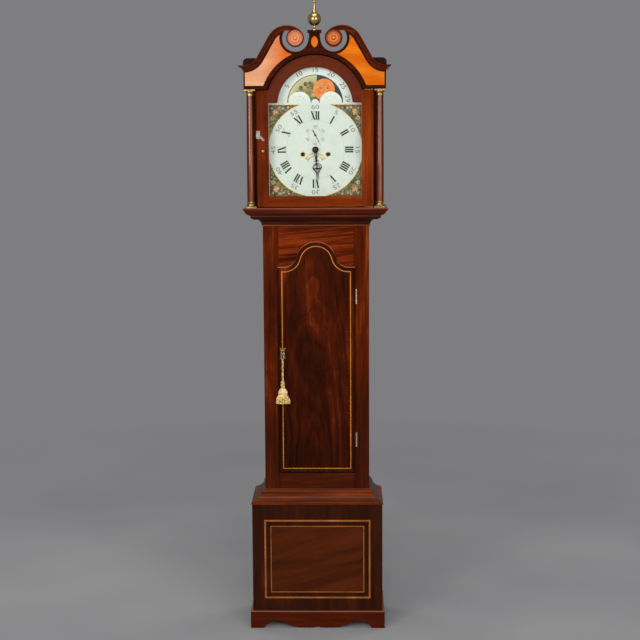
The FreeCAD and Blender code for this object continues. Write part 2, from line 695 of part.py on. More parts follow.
def trunk_sides():
    """Side boards of the trunk, which rise inside the hood to carry the seatboard."""
    return both_sides(block(TRUNK_HALF - TRUNK_SIDE_THICK, TRUNK_HALF, Y_TRUNK + FRONT_FRAME_THICK, Y_BACK,
                            BASE_HEIGHT - TRUNK_SINK, SEAT_Z))


def trunk_door_outline(inset):
    """Ogee-headed door outline, moved in from the lip's edge."""
    half = DOOR_WIDTH / 2
    run = half - DOOR_SHOULDER
    turn = 2 * math.atan(DOOR_ARCH_RISE / run)
    crown = run / math.sin(turn) - DOOR_COVE
    turn_degrees = math.degrees(turn)
    cove_z = DOOR_SHOULDER_Z + DOOR_COVE
    crown_z = DOOR_SHOULDER_Z + DOOR_ARCH_RISE - crown
    cove = DOOR_COVE + inset
    top = crown - inset
    shoulder = DOOR_SHOULDER_Z - inset
    return ((-half + inset, DOOR_Z + inset), (-half + inset, shoulder), (-run, shoulder),
            (clock_point(-run, cove_z, cove, 180 - turn_degrees / 2),
             clock_point(-run, cove_z, cove, 180 - turn_degrees)),
            ((0.0, crown_z + top), clock_point(0.0, crown_z, top, turn_degrees)),
            (clock_point(run, cove_z, cove, 180 + turn_degrees / 2), (run, shoulder)),
            (half - inset, shoulder), (half - inset, DOOR_Z + inset))


def trunk_front_frame():
    """Two stiles, a shaped top rail and a bottom rail round the door."""
    opening = DOOR_WIDTH / 2 - DOOR_LIP + DOOR_CLEAR
    low = BASE_HEIGHT - TRUNK_SINK
    panel = block(-TRUNK_HALF, TRUNK_HALF, Y_TRUNK, Y_TRUNK + FRONT_FRAME_THICK, low, TRUNK_TOP)
    doorway = trunk_door_outline(DOOR_LIP - DOOR_CLEAR)
    panel = panel.cut(front_prism(doorway, Y_TRUNK, Y_TRUNK + FRONT_FRAME_THICK))
    middle = (DOOR_Z + DOOR_SHOULDER_Z) / 2
    stile = panel.common(block(opening, TRUNK_HALF, Y_TRUNK, Y_BACK, low, TRUNK_TOP))
    top_rail = panel.common(block(-opening, opening, Y_TRUNK, Y_BACK, middle, TRUNK_TOP))
    bottom_rail = panel.common(block(-opening, opening, Y_TRUNK, Y_BACK, low, middle))
    return both_sides(stile) + [top_rail, bottom_rail]


def throat_molding():
    """Moulding under the hood, on the trunk."""
    out = THROAT_PROJECTION
    rise = THROAT_HEIGHT
    profile = ((0.0, 0.0), (0.03 * out, 0.0), ((0.085 * out, 0.085 * rise), (0.03 * out, 0.17 * rise)),
               (0.08 * out, 0.17 * rise), ((0.22 * out, 0.52 * rise), (0.68 * out, 0.7 * rise)),
               (0.78 * out, 0.7 * rise), (0.78 * out, 0.78 * rise),
               ((0.94 * out, 0.83 * rise), (out, 0.94 * rise)),
               (out, rise), (0.0, rise))
    return mitered(profile, TRUNK_HALF, Y_TRUNK, Y_WALL, THROAT_Z)


def line_places():
    """x of the running strand, the pulley and the fixed strand of each line."""
    places = []
    for barrel_x in (BARREL_X, -BARREL_X):
        running = barrel_x - DRUM_R - LINE_R - LINE_GAP
        places.append((running, running + LINE_SPREAD, running + 2 * LINE_SPREAD))
    return places


def seatboard():
    """Board that carries the movement, with holes for the lines and a slot for the pendulum."""
    board = block(-TRUNK_HALF, TRUNK_HALF, Y_TRUNK + SEAT_FRONT, Y_TRUNK + SEAT_BACK, SEAT_Z, SEAT_TOP)
    for running, middle, fixed in line_places():
        for x in (running, fixed):
            board = board.cut(rod_z(x, LINE_Y, LINE_HOLE_R, SEAT_Z, SEAT_TOP))
    slot = block(-COCK_WIDTH, COCK_WIDTH, PENDULUM_Y - COCK_HEIGHT, PENDULUM_Y + COCK_HEIGHT,
                 SEAT_Z, SEAT_TOP)
    return [board.cut(slot)]


# Trunk door

def hinge_spans():
    """Bottom of each hinge."""
    return [DOOR_Z + HINGE_RISE, DOOR_SHOULDER_Z - HINGE_DROP]


def hinge_knuckle(z0, z1):
    """Rolled part of a hinge leaf, bored for the pin."""
    return rod_z(HINGE_X, HINGE_Y, HINGE_KNUCKLE_R, z0, z1).cut(
        rod_z(HINGE_X, HINGE_Y, HINGE_PIN_R + RUN_CLEAR, z0, z1))


def hinge_bore(z0, z1):
    """Room for the pin through a leaf."""
    return rod_z(HINGE_X, HINGE_Y, HINGE_PIN_R + RUN_CLEAR, z0, z1)


def trunk_hinge_case_leaves():
    """Hinge leaves on the stile, with upper and lower knuckles and the pins."""
    solids = []
    third = HINGE_LENGTH / 3
    for z in hinge_spans():
        leaf = block(DOOR_WIDTH / 2 - DOOR_LIP + DOOR_CLEAR, HINGE_X, Y_TRUNK - HINGE_LEAF_THICK, Y_TRUNK,
                     z, z + HINGE_LENGTH)
        leaf = leaf.cut(block(0.0, 2 * HINGE_X, Y_TRUNK - HINGE_LEAF_THICK, Y_TRUNK, z + third - END_SHAKE,
                              z + 2 * third + END_SHAKE))
        web = block(HINGE_X - HINGE_LEAF_THICK / 2, HINGE_X + HINGE_LEAF_THICK / 2, HINGE_Y, Y_TRUNK,
                    z, z + HINGE_LENGTH)
        room = block(0.0, 2 * HINGE_X, HINGE_Y, Y_TRUNK, z + third - END_SHAKE, z + 2 * third + END_SHAKE)
        web = web.cut(room)
        low = hinge_knuckle(z, z + third - END_SHAKE)
        high = hinge_knuckle(z + 2 * third + END_SHAKE, z + HINGE_LENGTH)
        bore = hinge_bore(z, z + HINGE_LENGTH)
        spans = ((low, z, z + third - END_SHAKE), (high, z + 2 * third + END_SHAKE, z + HINGE_LENGTH))
        for knuckle, z0, z1 in spans:
            span = block(0.0, 2 * HINGE_X, HINGE_Y, Y_TRUNK, z0, z1)
            solids.append(fused(knuckle, leaf.common(span), web.common(span)).cut(bore))
        solids.append(rod_z(HINGE_X, HINGE_Y, HINGE_PIN_R, z, z + HINGE_LENGTH))
    return solids


def hinge_door_leaf(z):
    """Middle knuckle and leaf that turn with the door."""
    third = HINGE_LENGTH / 3
    back = Y_TRUNK - HINGE_LEAF_THICK - END_SHAKE
    leaf = block(DOOR_WIDTH / 2 - HINGE_LEAF_WIDTH, HINGE_X, back - HINGE_LEAF_THICK, back,
                 z + third, z + 2 * third)
    knuckle = hinge_knuckle(z + third, z + 2 * third)
    return fused(knuckle, leaf).cut(hinge_bore(z, z + HINGE_LENGTH))


def trunk_hinge_door_leaves():
    """Hinge leaves let into the back of the door's lip."""
    return [hinge_door_leaf(z) for z in hinge_spans()]


def hinge_recess(z):
    """Pocket in the lip for both leaves."""
    third = HINGE_LENGTH / 3
    deep = Y_TRUNK - 2 * HINGE_LEAF_THICK - END_SHAKE
    shared = block(DOOR_WIDTH / 2 - HINGE_LEAF_WIDTH, DOOR_WIDTH, deep, Y_TRUNK, z + third, z + 2 * third)
    shallow = block(DOOR_WIDTH / 2 - DOOR_LIP, DOOR_WIDTH, Y_TRUNK - HINGE_LEAF_THICK - END_SHAKE, Y_TRUNK,
                    z - END_SHAKE, z + HINGE_LENGTH + END_SHAKE)
    return shared.fuse(shallow)


def trunk_door_line():
    """Thin inlaid line that follows the door's edge."""
    outer = front_prism(trunk_door_outline(DOOR_LINE_INSET), DOOR_FRONT_Y, DOOR_FRONT_Y + INLAY_DEPTH)
    inner = front_prism(trunk_door_outline(DOOR_LINE_INSET + DOOR_LINE_WIDTH), DOOR_FRONT_Y,
                        DOOR_FRONT_Y + INLAY_DEPTH)
    return outer.cut(inner).cut(rod_y(KEY_X, KEY_Z, KEY_HOLE_R, DOOR_FRONT_Y, DOOR_BACK_Y))


def trunk_door_panel():
    """Door board with a beaded lip that laps over the frame."""
    lip = front_prism(trunk_door_outline(0.0), DOOR_FRONT_Y, Y_TRUNK)
    edges = [edge for edge in lip.Edges if edge.BoundBox.YMax < DOOR_FRONT_Y + DOOR_EDGE_ROUND]
    lip = lip.makeFillet(DOOR_EDGE_ROUND, edges)
    quirk = front_prism(trunk_door_outline(DOOR_QUIRK_INSET), DOOR_FRONT_Y, DOOR_FRONT_Y + DOOR_QUIRK)
    quirk = quirk.cut(front_prism(trunk_door_outline(DOOR_QUIRK_INSET + DOOR_QUIRK), DOOR_FRONT_Y,
                                  DOOR_FRONT_Y + DOOR_QUIRK))
    body = front_prism(trunk_door_outline(DOOR_LIP), Y_TRUNK, DOOR_BACK_Y)
    door = fused(lip, body).cut(quirk).cut(trunk_door_line())
    door = door.cut(rod_y(KEY_X, KEY_Z, KEY_HOLE_R, DOOR_FRONT_Y, DOOR_BACK_Y))
    for z in hinge_spans():
        door = door.cut(hinge_recess(z))
    return [door]


def lock_left():
    """x of the lock's edge beside the stile."""
    return DOOR_LIP - DOOR_WIDTH / 2 + LOCK_EDGE


def bolt_room(x0, x1, slack):
    """Space of the bolt, grown by a slack."""
    y_mid = DOOR_BACK_Y + LOCK_THICK - BOLT_THICK - 2 * BOLT_CLEAR
    z_mid = KEY_Z - BOLT_DROP
    return block(x0, x1, y_mid - BOLT_THICK / 2 - slack, y_mid + BOLT_THICK / 2 + slack,
                 z_mid - BOLT_HEIGHT / 2 - slack, z_mid + BOLT_HEIGHT / 2 + slack)


def trunk_door_lock():
    """Lock case behind the door and the escutcheon in front of it."""
    left = lock_left()
    case = block(left, left + LOCK_WIDTH, DOOR_BACK_Y, DOOR_BACK_Y + LOCK_THICK,
                 KEY_Z - LOCK_HEIGHT / 2, KEY_Z + LOCK_HEIGHT / 2)
    case = case.cut(bolt_room(left, left + BOLT_LENGTH + BOLT_CLEAR, BOLT_CLEAR))
    case = case.cut(rod_y(KEY_X, KEY_Z, KEY_SHANK_R + RUN_CLEAR, DOOR_BACK_Y, DOOR_BACK_Y + LOCK_THICK / 2))
    room = rod_y(KEY_X, KEY_Z, KEY_BIT + BOLT_CLEAR, DOOR_BACK_Y + LOCK_THICK / 4,
                 DOOR_BACK_Y + LOCK_THICK / 2)
    case = case.cut(room)
    half = ESCUTCHEON_WIDTH / 2
    rise = ESCUTCHEON_HEIGHT / 2
    waist = ESCUTCHEON_WAIST / 2
    plate = front_prism(((KEY_X - half, KEY_Z - rise),
                         ((KEY_X, KEY_Z - 0.8 * rise), (KEY_X + half, KEY_Z - rise)),
                         ((KEY_X + waist, KEY_Z), (KEY_X + half, KEY_Z + rise)),
                         ((KEY_X, KEY_Z + 0.8 * rise), (KEY_X - half, KEY_Z + rise)),
                         ((KEY_X - waist, KEY_Z), (KEY_X - half, KEY_Z - rise))),
                        DOOR_FRONT_Y - ESCUTCHEON_THICK, DOOR_FRONT_Y)
    plate = plate.cut(rod_y(KEY_X, KEY_Z, KEY_HOLE_R, DOOR_FRONT_Y - ESCUTCHEON_THICK, DOOR_FRONT_Y))
    return [case, plate]


def lock_bolt():
    """Bolt, drawn back into the lock."""
    left = lock_left()
    return [bolt_room(left, left + BOLT_LENGTH, 0.0)]


def trunk_door_key():
    """Key with an upright ring bow."""
    neck = TASSEL_Y - CORD_R - CORD_GAP
    tip = neck - KEY_BOW_WIRE
    shank = rod_y(KEY_X, KEY_Z, KEY_SHANK_R, tip, DOOR_BACK_Y + LOCK_THICK / 2 - END_SHAKE)
    bow = Part.makeTorus(KEY_BOW_R, KEY_BOW_WIRE, Vector(KEY_X, tip - KEY_BOW_R, KEY_Z), Vector(1, 0, 0))
    bit = block(KEY_X - KEY_SHANK_R / 2, KEY_X + KEY_SHANK_R / 2, DOOR_BACK_Y + LOCK_THICK / 4 + END_SHAKE,
                DOOR_BACK_Y + LOCK_THICK / 2 - END_SHAKE, KEY_Z, KEY_Z + KEY_BIT)
    return [fused(shank, bow, bit)]


# Tassel

def tassel_cord():
    """Loop of cord round the key's shank, its two strands side by side down to the tassel."""
    loop = KEY_SHANK_R + CORD_GAP + CORD_R
    turn = math.acos(1 - (loop - CORD_STRAND_X) / (2 * CORD_BEND))
    bend_h = CORD_BEND * math.sin(turn)
    bend_x = CORD_BEND * (1 - math.cos(turn))
    low = KEY_Z - TASSEL_TOP_DROP - TASSEL_CORD_SINK
    bend_low = KEY_Z - 2 * bend_h
    half_x = CORD_BEND * (1 - math.cos(turn / 2))
    half_h = CORD_BEND * math.sin(turn / 2)

    def at(x, z):
        return Vector(KEY_X + x, TASSEL_Y, z)

    def strand(side):
        straight = Part.makeLine(at(side * CORD_STRAND_X, low), at(side * CORD_STRAND_X, bend_low))
        middle = at(side * (CORD_STRAND_X + bend_x), bend_low + bend_h)
        out = Part.Arc(at(side * CORD_STRAND_X, bend_low),
                       at(side * (CORD_STRAND_X + half_x), bend_low + half_h), middle).toShape()
        back = Part.Arc(middle, at(side * (loop - half_x), KEY_Z - half_h), at(side * loop, KEY_Z)).toShape()
        return [straight, out, back]

    over = Part.Arc(at(-loop, KEY_Z), at(0, KEY_Z + loop), at(loop, KEY_Z)).toShape()
    path = Part.Wire(strand(-1) + [over] + strand(1)[::-1])
    section = Part.Wire(Part.makeCircle(CORD_R, at(-CORD_STRAND_X, low), Vector(0, 0, 1)))
    return [path.makePipeShell([section], True, False)]


def tassel():
    """Head, ruff and skirt of the tassel, flattened against the door."""
    steps = [(0.0, 0.0), (TASSEL_SKIRT_R * 0.95, 0.0), (TASSEL_SKIRT_R, TASSEL_SKIRT_H * 0.2),
             (TASSEL_RUFF_R * 0.8, TASSEL_SKIRT_H), (TASSEL_RUFF_R, TASSEL_SKIRT_H + 0.15 * TASSEL_RUFF_H),
             (TASSEL_RUFF_R * 0.75, TASSEL_SKIRT_H + 0.85 * TASSEL_RUFF_H),
             (TASSEL_HEAD_R * 0.8, TASSEL_SKIRT_H + TASSEL_RUFF_H)]
    head = TASSEL_SKIRT_H + TASSEL_RUFF_H
    steps += [((TASSEL_HEAD_R, head + TASSEL_HEAD_H / 2), (TASSEL_HEAD_R * 0.7, head + TASSEL_HEAD_H)),
              (0.0, head + TASSEL_HEAD_H)]
    bottom = KEY_Z - TASSEL_TOP_DROP - END_SHAKE - head - TASSEL_HEAD_H
    body = turned_z(0.0, 0.0, 0.0, steps)
    flatten = FreeCAD.Matrix()
    flatten.scale(1.0, TASSEL_FLATTEN, 1.0)
    body = body.transformGeometry(flatten)
    body.translate(Vector(KEY_X, TASSEL_Y, bottom))
    top = KEY_Z - TASSEL_TOP_DROP
    for x in (-CORD_STRAND_X, CORD_STRAND_X):
        bore = rod_z(KEY_X + x, TASSEL_Y, CORD_R + CORD_GAP, top - TASSEL_CORD_SINK - END_SHAKE, top)
        body = body.cut(bore)
    return [body]


# Hood

def hood_base_molding():
    """Frame that the hood slides on."""
    out = THROAT_PROJECTION
    lip = THROAT_PROJECTION + HOOD_BASE_LIP
    rise = HOOD_BASE_HEIGHT
    profile = ((HOOD_SLIDE_CLEAR, 0.0), (out, 0.0), (out, 0.12 * rise),
               ((out + 0.5 * HOOD_BASE_LIP, 0.3 * rise), (lip - 5, 0.62 * rise)),
               (lip - 3, 0.68 * rise), ((lip, 0.84 * rise), (lip - 3, rise)), (HOOD_SLIDE_CLEAR, rise))
    return mitered(profile, TRUNK_HALF, Y_TRUNK, Y_BACK - HOOD_BACK_CLEAR, TRUNK_TOP)


def sight_outline(grow):
    """Arched outline of the door's opening, grown all round."""
    return arched(SIGHT_HALF_WIDTH + grow, SIGHT_BOTTOM - grow, SIGHT_TOP + grow, SIGHT_ARCH_R + grow)


def dial_mask():
    """Two upright boards, a low board and an arched board that frame the dial behind the door."""
    back = MASK_Y + MASK_THICK
    inner = HOOD_SIDE_X - HOOD_SIDE_THICK
    joint = SIGHT_HALF_WIDTH + MASK_LAP
    mask = front_prism(arched(inner, HOOD_BASE_TOP, HORN_TOP, ROOF_TUNNEL_R), MASK_Y, back)
    mask = mask.cut(front_prism(sight_outline(MASK_LAP), MASK_Y, back))
    upright = mask.common(block(joint, inner, MASK_Y, back, HOOD_BASE_TOP, FINIAL_Z))
    between = mask.common(block(-joint, joint, MASK_Y, back, HOOD_BASE_TOP, FINIAL_Z))
    return both_sides(upright) + list(between.Solids)


def hood_carcass():
    """Side boards, side friezes, roof with its arched tunnel, and the dial mask."""
    back = Y_BACK - HOOD_BACK_CLEAR
    board_back = Y_FRIEZE + FRIEZE_THICK
    side_steps = ((Y_TRUNK - HOOD_SIDE_FRONT, HOOD_BASE_TOP), (back, HOOD_BASE_TOP), (back, HORN_TOP),
                  (board_back, HORN_TOP), (board_back, FRIEZE_Z), (Y_TRUNK - HOOD_SIDE_FRONT, FRIEZE_Z))
    side = side_prism(side_steps, HOOD_SIDE_X - HOOD_SIDE_THICK, HOOD_SIDE_X)
    frieze = block(HOOD_SIDE_X, FRIEZE_HALF_WIDTH, board_back, back, FRIEZE_Z, HORN_TOP)
    slab = block(-ROOF_HALF_WIDTH, ROOF_HALF_WIDTH, board_back, back, HORN_TOP, HORN_TOP + ROOF_THICK)
    ends = [edge for edge in slab.Edges if edge.BoundBox.ZMin > HORN_TOP + ROOF_THICK / 2
            and edge.BoundBox.YLength > ROOF_THICK]
    slab = slab.makeFillet(ROOF_ROUND, ends)
    tunnel = rod_y(0.0, ARCH_Z, ROOF_TUNNEL_R + ROOF_TUNNEL_WALL, board_back, back)
    tunnel = tunnel.common(block(-ROOF_HALF_WIDTH, ROOF_HALF_WIDTH, board_back, back, HORN_TOP, FINIAL_Z))
    mouth = rod_y(0.0, ARCH_Z, BOARD_ARCH_R + ROOF_MOUTH_WALL, board_back, MASK_Y + MASK_THICK)
    mouth = mouth.common(block(-ROOF_HALF_WIDTH, ROOF_HALF_WIDTH, board_back, back, HORN_TOP, FINIAL_Z))
    roof = fused(slab, tunnel, mouth).cut(rod_y(0.0, ARCH_Z, ROOF_TUNNEL_R, board_back, back))
    roof = roof.cut(rod_y(0.0, ARCH_Z, BOARD_ARCH_R, board_back, MASK_Y))
    return both_sides(side) + both_sides(frieze) + [roof] + dial_mask()


def neck_steps(offset, stop):
    """Points of the right swan neck, moved out from its lower edge: cove start, cove arc, crown arc."""
    cove = NECK_COVE_R - offset
    crown = NECK_CROWN_R + offset
    cove_z = CORNICE_Z + NECK_COVE_R
    start = (NECK_COVE_X, cove_z - cove)
    cove_mid = clock_point(NECK_COVE_X, cove_z, cove, 180 + NECK_SLOPE / 2)
    cove_end = clock_point(NECK_COVE_X, cove_z, cove, 180 + NECK_SLOPE)
    crown_start = clock_point(NECK_CROWN_X, NECK_CROWN_Z, crown, NECK_SLOPE)
    crown_mid = clock_point(NECK_CROWN_X, NECK_CROWN_Z, crown, (NECK_SLOPE + stop) / 2)
    crown_end = clock_point(NECK_CROWN_X, NECK_CROWN_Z, crown, stop)
    return [start, (cove_mid, cove_end), crown_start, (crown_mid, crown_end)]


def cornice_profile():
    """Section of the cornice and the swan necks, in (out, up)."""
    out = NECK_PROJECTION
    rise = CORNICE_HEIGHT
    return ((0.0, 0.0), (0.18 * out, 0.0), (0.18 * out, 0.08 * rise),
            ((0.32 * out, 0.42 * rise), (0.62 * out, 0.58 * rise)),
            (0.68 * out, 0.58 * rise), (0.68 * out, 0.66 * rise),
            ((0.88 * out, 0.71 * rise), (out, 0.82 * rise)),
            (out, rise), (0.0, rise))


def swan_neck():
    """Right swan neck moulding with its scroll, pocketed for the rosette."""
    start, cove, crown_start, crown = neck_steps(0.0, 90 - NECK_END_ANGLE)
    far = FRIEZE_HALF_WIDTH + 2 * NECK_PROJECTION

    def at(point):
        return Vector(point[0], Y_FRIEZE, point[1])

    path = Part.Wire([Part.makeLine(at((far, CORNICE_Z)), at(start)),
                      Part.Arc(at(start), at(cove[0]), at(cove[1])).toShape(),
                      Part.makeLine(at(cove[1]), at(crown_start)),
                      Part.Arc(at(crown_start), at(crown[0]), at(crown[1])).toShape()])
    section = face_of(cornice_profile(), lambda out, up: Vector(far, Y_FRIEZE - out, CORNICE_Z + up))
    neck = path.makePipeShell([section.OuterWire], True, False)
    neck = neck.common(miter_wedge(FRIEZE_HALF_WIDTH, Y_FRIEZE))
    scroll = rod_y(SCROLL_X, SCROLL_Z, SCROLL_R, Y_FRIEZE - NECK_PROJECTION, Y_FRIEZE + SCROLL_BACK)
    pocket = rod_y(SCROLL_X, SCROLL_Z, ROSETTE_R + ROSETTE_CLEAR, Y_FRIEZE - NECK_PROJECTION,
                   Y_FRIEZE - NECK_PROJECTION + ROSETTE_DEPTH)
    return fused(neck, scroll).cut(pocket)


def pediment_moldings():
    """Two swan necks and the two cornice returns along the sides."""
    back = Y_BACK - HOOD_BACK_CLEAR
    returns = mitered(cornice_profile(), FRIEZE_HALF_WIDTH, Y_FRIEZE, back, CORNICE_Z)[1:]
    return both_sides(swan_neck()) + returns


def rosettes():
    """Turned rosettes in the scrolls."""
    y = Y_FRIEZE - NECK_PROJECTION + ROSETTE_DEPTH
    radius = ROSETTE_R
    deep = ROSETTE_DEPTH
    steps = ((0.0, 0.0), (radius, 0.0), (radius, 0.5 * deep),
             ((0.9 * radius, 0.85 * deep), (0.8 * radius, 0.5 * deep)),
             ((0.68 * radius, 0.25 * deep), (0.56 * radius, 0.5 * deep)),
             ((0.48 * radius, 0.75 * deep), (0.4 * radius, 0.5 * deep)),
             (0.3 * radius, 0.45 * deep), ((0.22 * radius, 0.8 * deep), (0.05 * radius, 0.95 * deep)),
             (0.0, 0.95 * deep))
    return both_sides(turned_y(SCROLL_X, y, SCROLL_Z, steps))


def scroll_cuts(radius):
    """Round gaps beside the plinth, about each scroll."""
    return both_sides(rod_y(SCROLL_X, SCROLL_Z, radius, Y_FRIEZE - FRIEZE_THICK, Y_FRIEZE + 2 * FRIEZE_THICK))


def pediment_panel():
    """Right light panel let into the pediment board."""
    start, cove, crown_start, crown = neck_steps(-PANEL_NECK_BAND, 0.0)
    side = FRIEZE_HALF_WIDTH - PANEL_SIDE_BAND
    low = FRIEZE_Z + PANEL_LOW_BAND
    steps = [(SCROLL_X, low), (side, low), (side, start[1]), cove, crown_start, crown, (SCROLL_X, SCROLL_Z)]
    panel = front_prism(steps, Y_FRIEZE, Y_FRIEZE + INLAY_DEPTH)
    panel = panel.cut(rod_y(0.0, ARCH_Z, BOARD_ARCH_R + PANEL_BAND, Y_FRIEZE, Y_FRIEZE + INLAY_DEPTH))
    return panel.cut(scroll_cuts(SCROLL_CUT_R + PANEL_SCROLL_BAND)[0])


def plinth_oval():
    """Pointed oval let into the plinth."""
    z = PLINTH_TOP - PLINTH_RISE - OVAL_DROP
    half_h = OVAL_HEIGHT / 2
    half_w = OVAL_WIDTH / 2
    steps = ((0.0, z - half_h), ((half_w, z), (0.0, z + half_h)), ((-half_w, z), (0.0, z - half_h)))
    return front_prism(steps, Y_FRIEZE, Y_FRIEZE + INLAY_DEPTH)


def pediment_inlay():
    """Light panels and the oval."""
    return both_sides(pediment_panel()) + [plinth_oval()]


def pediment_board():
    """Board behind the swan necks, cut for the arch and the scrolls."""
    start, cove, crown_start, crown = neck_steps(NECK_BACKING, 10.0)
    joint = SCROLL_Z - PLINTH_JOINT_DROP
    steps = [(0.0, FRIEZE_Z), (FRIEZE_HALF_WIDTH, FRIEZE_Z), (FRIEZE_HALF_WIDTH, start[1]), start,
             cove, crown_start, crown, (SCROLL_X, SCROLL_Z), (SCROLL_X, joint), (0.0, joint)]
    half = front_prism(steps, Y_FRIEZE, Y_FRIEZE + FRIEZE_THICK)
    board = fused(half, mirrored(half))
    board = board.cut(scroll_cuts(SCROLL_CUT_R))
    board = board.cut(rod_y(0.0, ARCH_Z, BOARD_ARCH_R, Y_FRIEZE, Y_FRIEZE + FRIEZE_THICK))
    return [board.cut(pediment_inlay()).cut(hood_pin_holes())]


def finial_plinth():
    """Block between the scrolls that carries the finial."""
    joint = SCROLL_Z - PLINTH_JOINT_DROP
    back = Y_FRIEZE + FRIEZE_THICK
    neck = block(-PLINTH_HALF_WIDTH, PLINTH_HALF_WIDTH, Y_FRIEZE, back, joint, PLINTH_TOP)
    flare = block(-SCROLL_X, SCROLL_X, Y_FRIEZE, back, joint, SCROLL_Z).cut(scroll_cuts(SCROLL_CUT_R))
    cap_half = PLINTH_HALF_WIDTH + PLINTH_CAP_OVERHANG
    cap = block(-cap_half, cap_half, Y_FRIEZE - PLINTH_CAP_OVERHANG, back + PLINTH_CAP_OVERHANG,
                PLINTH_TOP, FINIAL_Z)
    middle = max(flare.Solids, key=lambda solid: -abs(solid.CenterOfMass.x))
    return [fused(neck, middle, cap).cut(plinth_oval())]


def finial():
    """Brass ball and spire."""
    ball = FINIAL_BALL_RISE
    radius = FINIAL_BALL_R
    waist = 0.4 * FINIAL_FOOT_R
    low = ball - math.sqrt(radius ** 2 - waist ** 2)
    collar = 0.35 * radius
    high = ball + math.sqrt(radius ** 2 - collar ** 2)
    top = FINIAL_HEIGHT
    knop = top - FINIAL_KNOP_DROP
    slim = 0.65 * FINIAL_SPIRE_R
    neck = high + FINIAL_COLLAR_HEIGHT
    steps = ((0.0, 0.0), (FINIAL_FOOT_R, 0.0), (FINIAL_FOOT_R, FINIAL_FOOT_THICK),
             ((0.55 * FINIAL_FOOT_R, 0.45 * low), (waist, low)), ((radius, ball), (collar, high)),
             (collar, neck), (FINIAL_SPIRE_R, 1.01 * neck), (slim, knop - FINIAL_KNOP_R),
             ((FINIAL_KNOP_R, knop), (slim, knop + FINIAL_KNOP_R)), (0.1 * slim, top), (0.0, top))
    return [turned_z(0.0, Y_FRIEZE + FRIEZE_THICK / 2, FINIAL_Z, steps)]


def column_bottom():
    """z where the shaft begins."""
    return HOOD_BASE_TOP + MOUNT_PLATE_THICK + MOUNT_TURNED_H


def hood_columns():
    """Column shafts with a slight taper."""
    length = FRIEZE_Z - MOUNT_PLATE_THICK - MOUNT_TURNED_H - column_bottom()
    swell = (COLUMN_R + COLUMN_TOP_R) / 2 + 0.5
    steps = ((0.0, 0.0), (COLUMN_R, 0.0), ((swell, length / 2), (COLUMN_TOP_R, length)), (0.0, length))
    return both_sides(turned_z(COLUMN_X, COLUMN_Y, column_bottom(), steps))


def column_mounts():
    """Brass bases and capitals."""
    half = MOUNT_PLATE / 2
    rise = MOUNT_TURNED_H
    wide = MOUNT_TURNED_R

    def mount(plate_z, turned_at, steps):
        plate = block(COLUMN_X - half, COLUMN_X + half, COLUMN_Y - half, COLUMN_Y + half, plate_z,
                      plate_z + MOUNT_PLATE_THICK)
        return fused(plate, turned_z(COLUMN_X, COLUMN_Y, turned_at, steps))

    base_steps = ((0.0, 0.0), (0.95 * wide, 0.0), ((wide + 1.0, 0.2 * rise), (0.95 * wide, 0.4 * rise)),
                  (0.84 * wide, 0.45 * rise), ((0.82 * wide, 0.6 * rise), (0.9 * wide, 0.72 * rise)),
                  (0.95 * wide, 0.86 * rise), (COLUMN_R, rise), (0.0, rise))
    ring = 1.12 * COLUMN_TOP_R
    cap_steps = ((0.0, 0.0), (ring, 0.0), (ring, 0.16 * rise), (COLUMN_TOP_R, 0.2 * rise),
                 (COLUMN_TOP_R, 0.4 * rise),
                 ((0.86 * wide, 0.6 * rise), (wide, 0.85 * rise)), (wide, rise), (0.0, rise))
    base = mount(HOOD_BASE_TOP, HOOD_BASE_TOP + MOUNT_PLATE_THICK, base_steps)
    cap = mount(FRIEZE_Z - MOUNT_PLATE_THICK, FRIEZE_Z - MOUNT_PLATE_THICK - rise, cap_steps)
    return both_sides(base) + both_sides(cap)


# Hood door

def hood_door_frame():
    """Two stiles, bottom rail and arched top rail, rebated for the glass."""
    frame = front_prism(arched(HOOD_DOOR_HALF, HOOD_DOOR_BOTTOM, HOOD_DOOR_SHOULDER, HOOD_DOOR_ARCH_R),
                        HOOD_DOOR_Y, HOOD_DOOR_BACK)

    def opening(grow, y0, y1):
        return front_prism(sight_outline(grow), y0, y1)

    frame = frame.cut(opening(0.0, HOOD_DOOR_Y, HOOD_DOOR_BACK))
    frame = frame.cut(opening(HOOD_DOOR_STEP, HOOD_DOOR_Y, HOOD_DOOR_Y + HOOD_DOOR_STEP_DEPTH))
    rebate = HOOD_DOOR_BACK - GLASS_BACK - GLASS_THICK
    frame = frame.cut(opening(GLASS_LAP + GLASS_CLEAR, rebate, HOOD_DOOR_BACK))
    high = ARCH_Z + HOOD_DOOR_ARCH_R
    joint = SIGHT_HALF_WIDTH
    stile = frame.common(block(joint, HOOD_DOOR_HALF, HOOD_DOOR_Y, HOOD_DOOR_BACK, HOOD_DOOR_BOTTOM, high))
    rails = frame.common(block(-joint, joint, HOOD_DOOR_Y, HOOD_DOOR_BACK, HOOD_DOOR_BOTTOM, high))
    return both_sides(stile) + list(rails.Solids)


def hood_door_glass():
    """Arched pane."""
    back = HOOD_DOOR_BACK - GLASS_BACK
    return [front_prism(sight_outline(GLASS_LAP), back - GLASS_THICK, back)]


def hood_pin_spans():
    """z range of the door's lower and upper pivot pins."""
    lower = (HOOD_BASE_TOP - STRAP_PIN_REACH, HOOD_DOOR_BOTTOM)
    upper = (HOOD_DOOR_SHOULDER, FRIEZE_Z + STRAP_PIN_REACH)
    return [lower, upper]


def hood_pin_holes():
    """Pivot holes above and below the door."""
    return [rod_z(STRAP_X, STRAP_Y, STRAP_PIN_R + RUN_CLEAR, z0, z1) for z0, z1 in hood_pin_spans()]


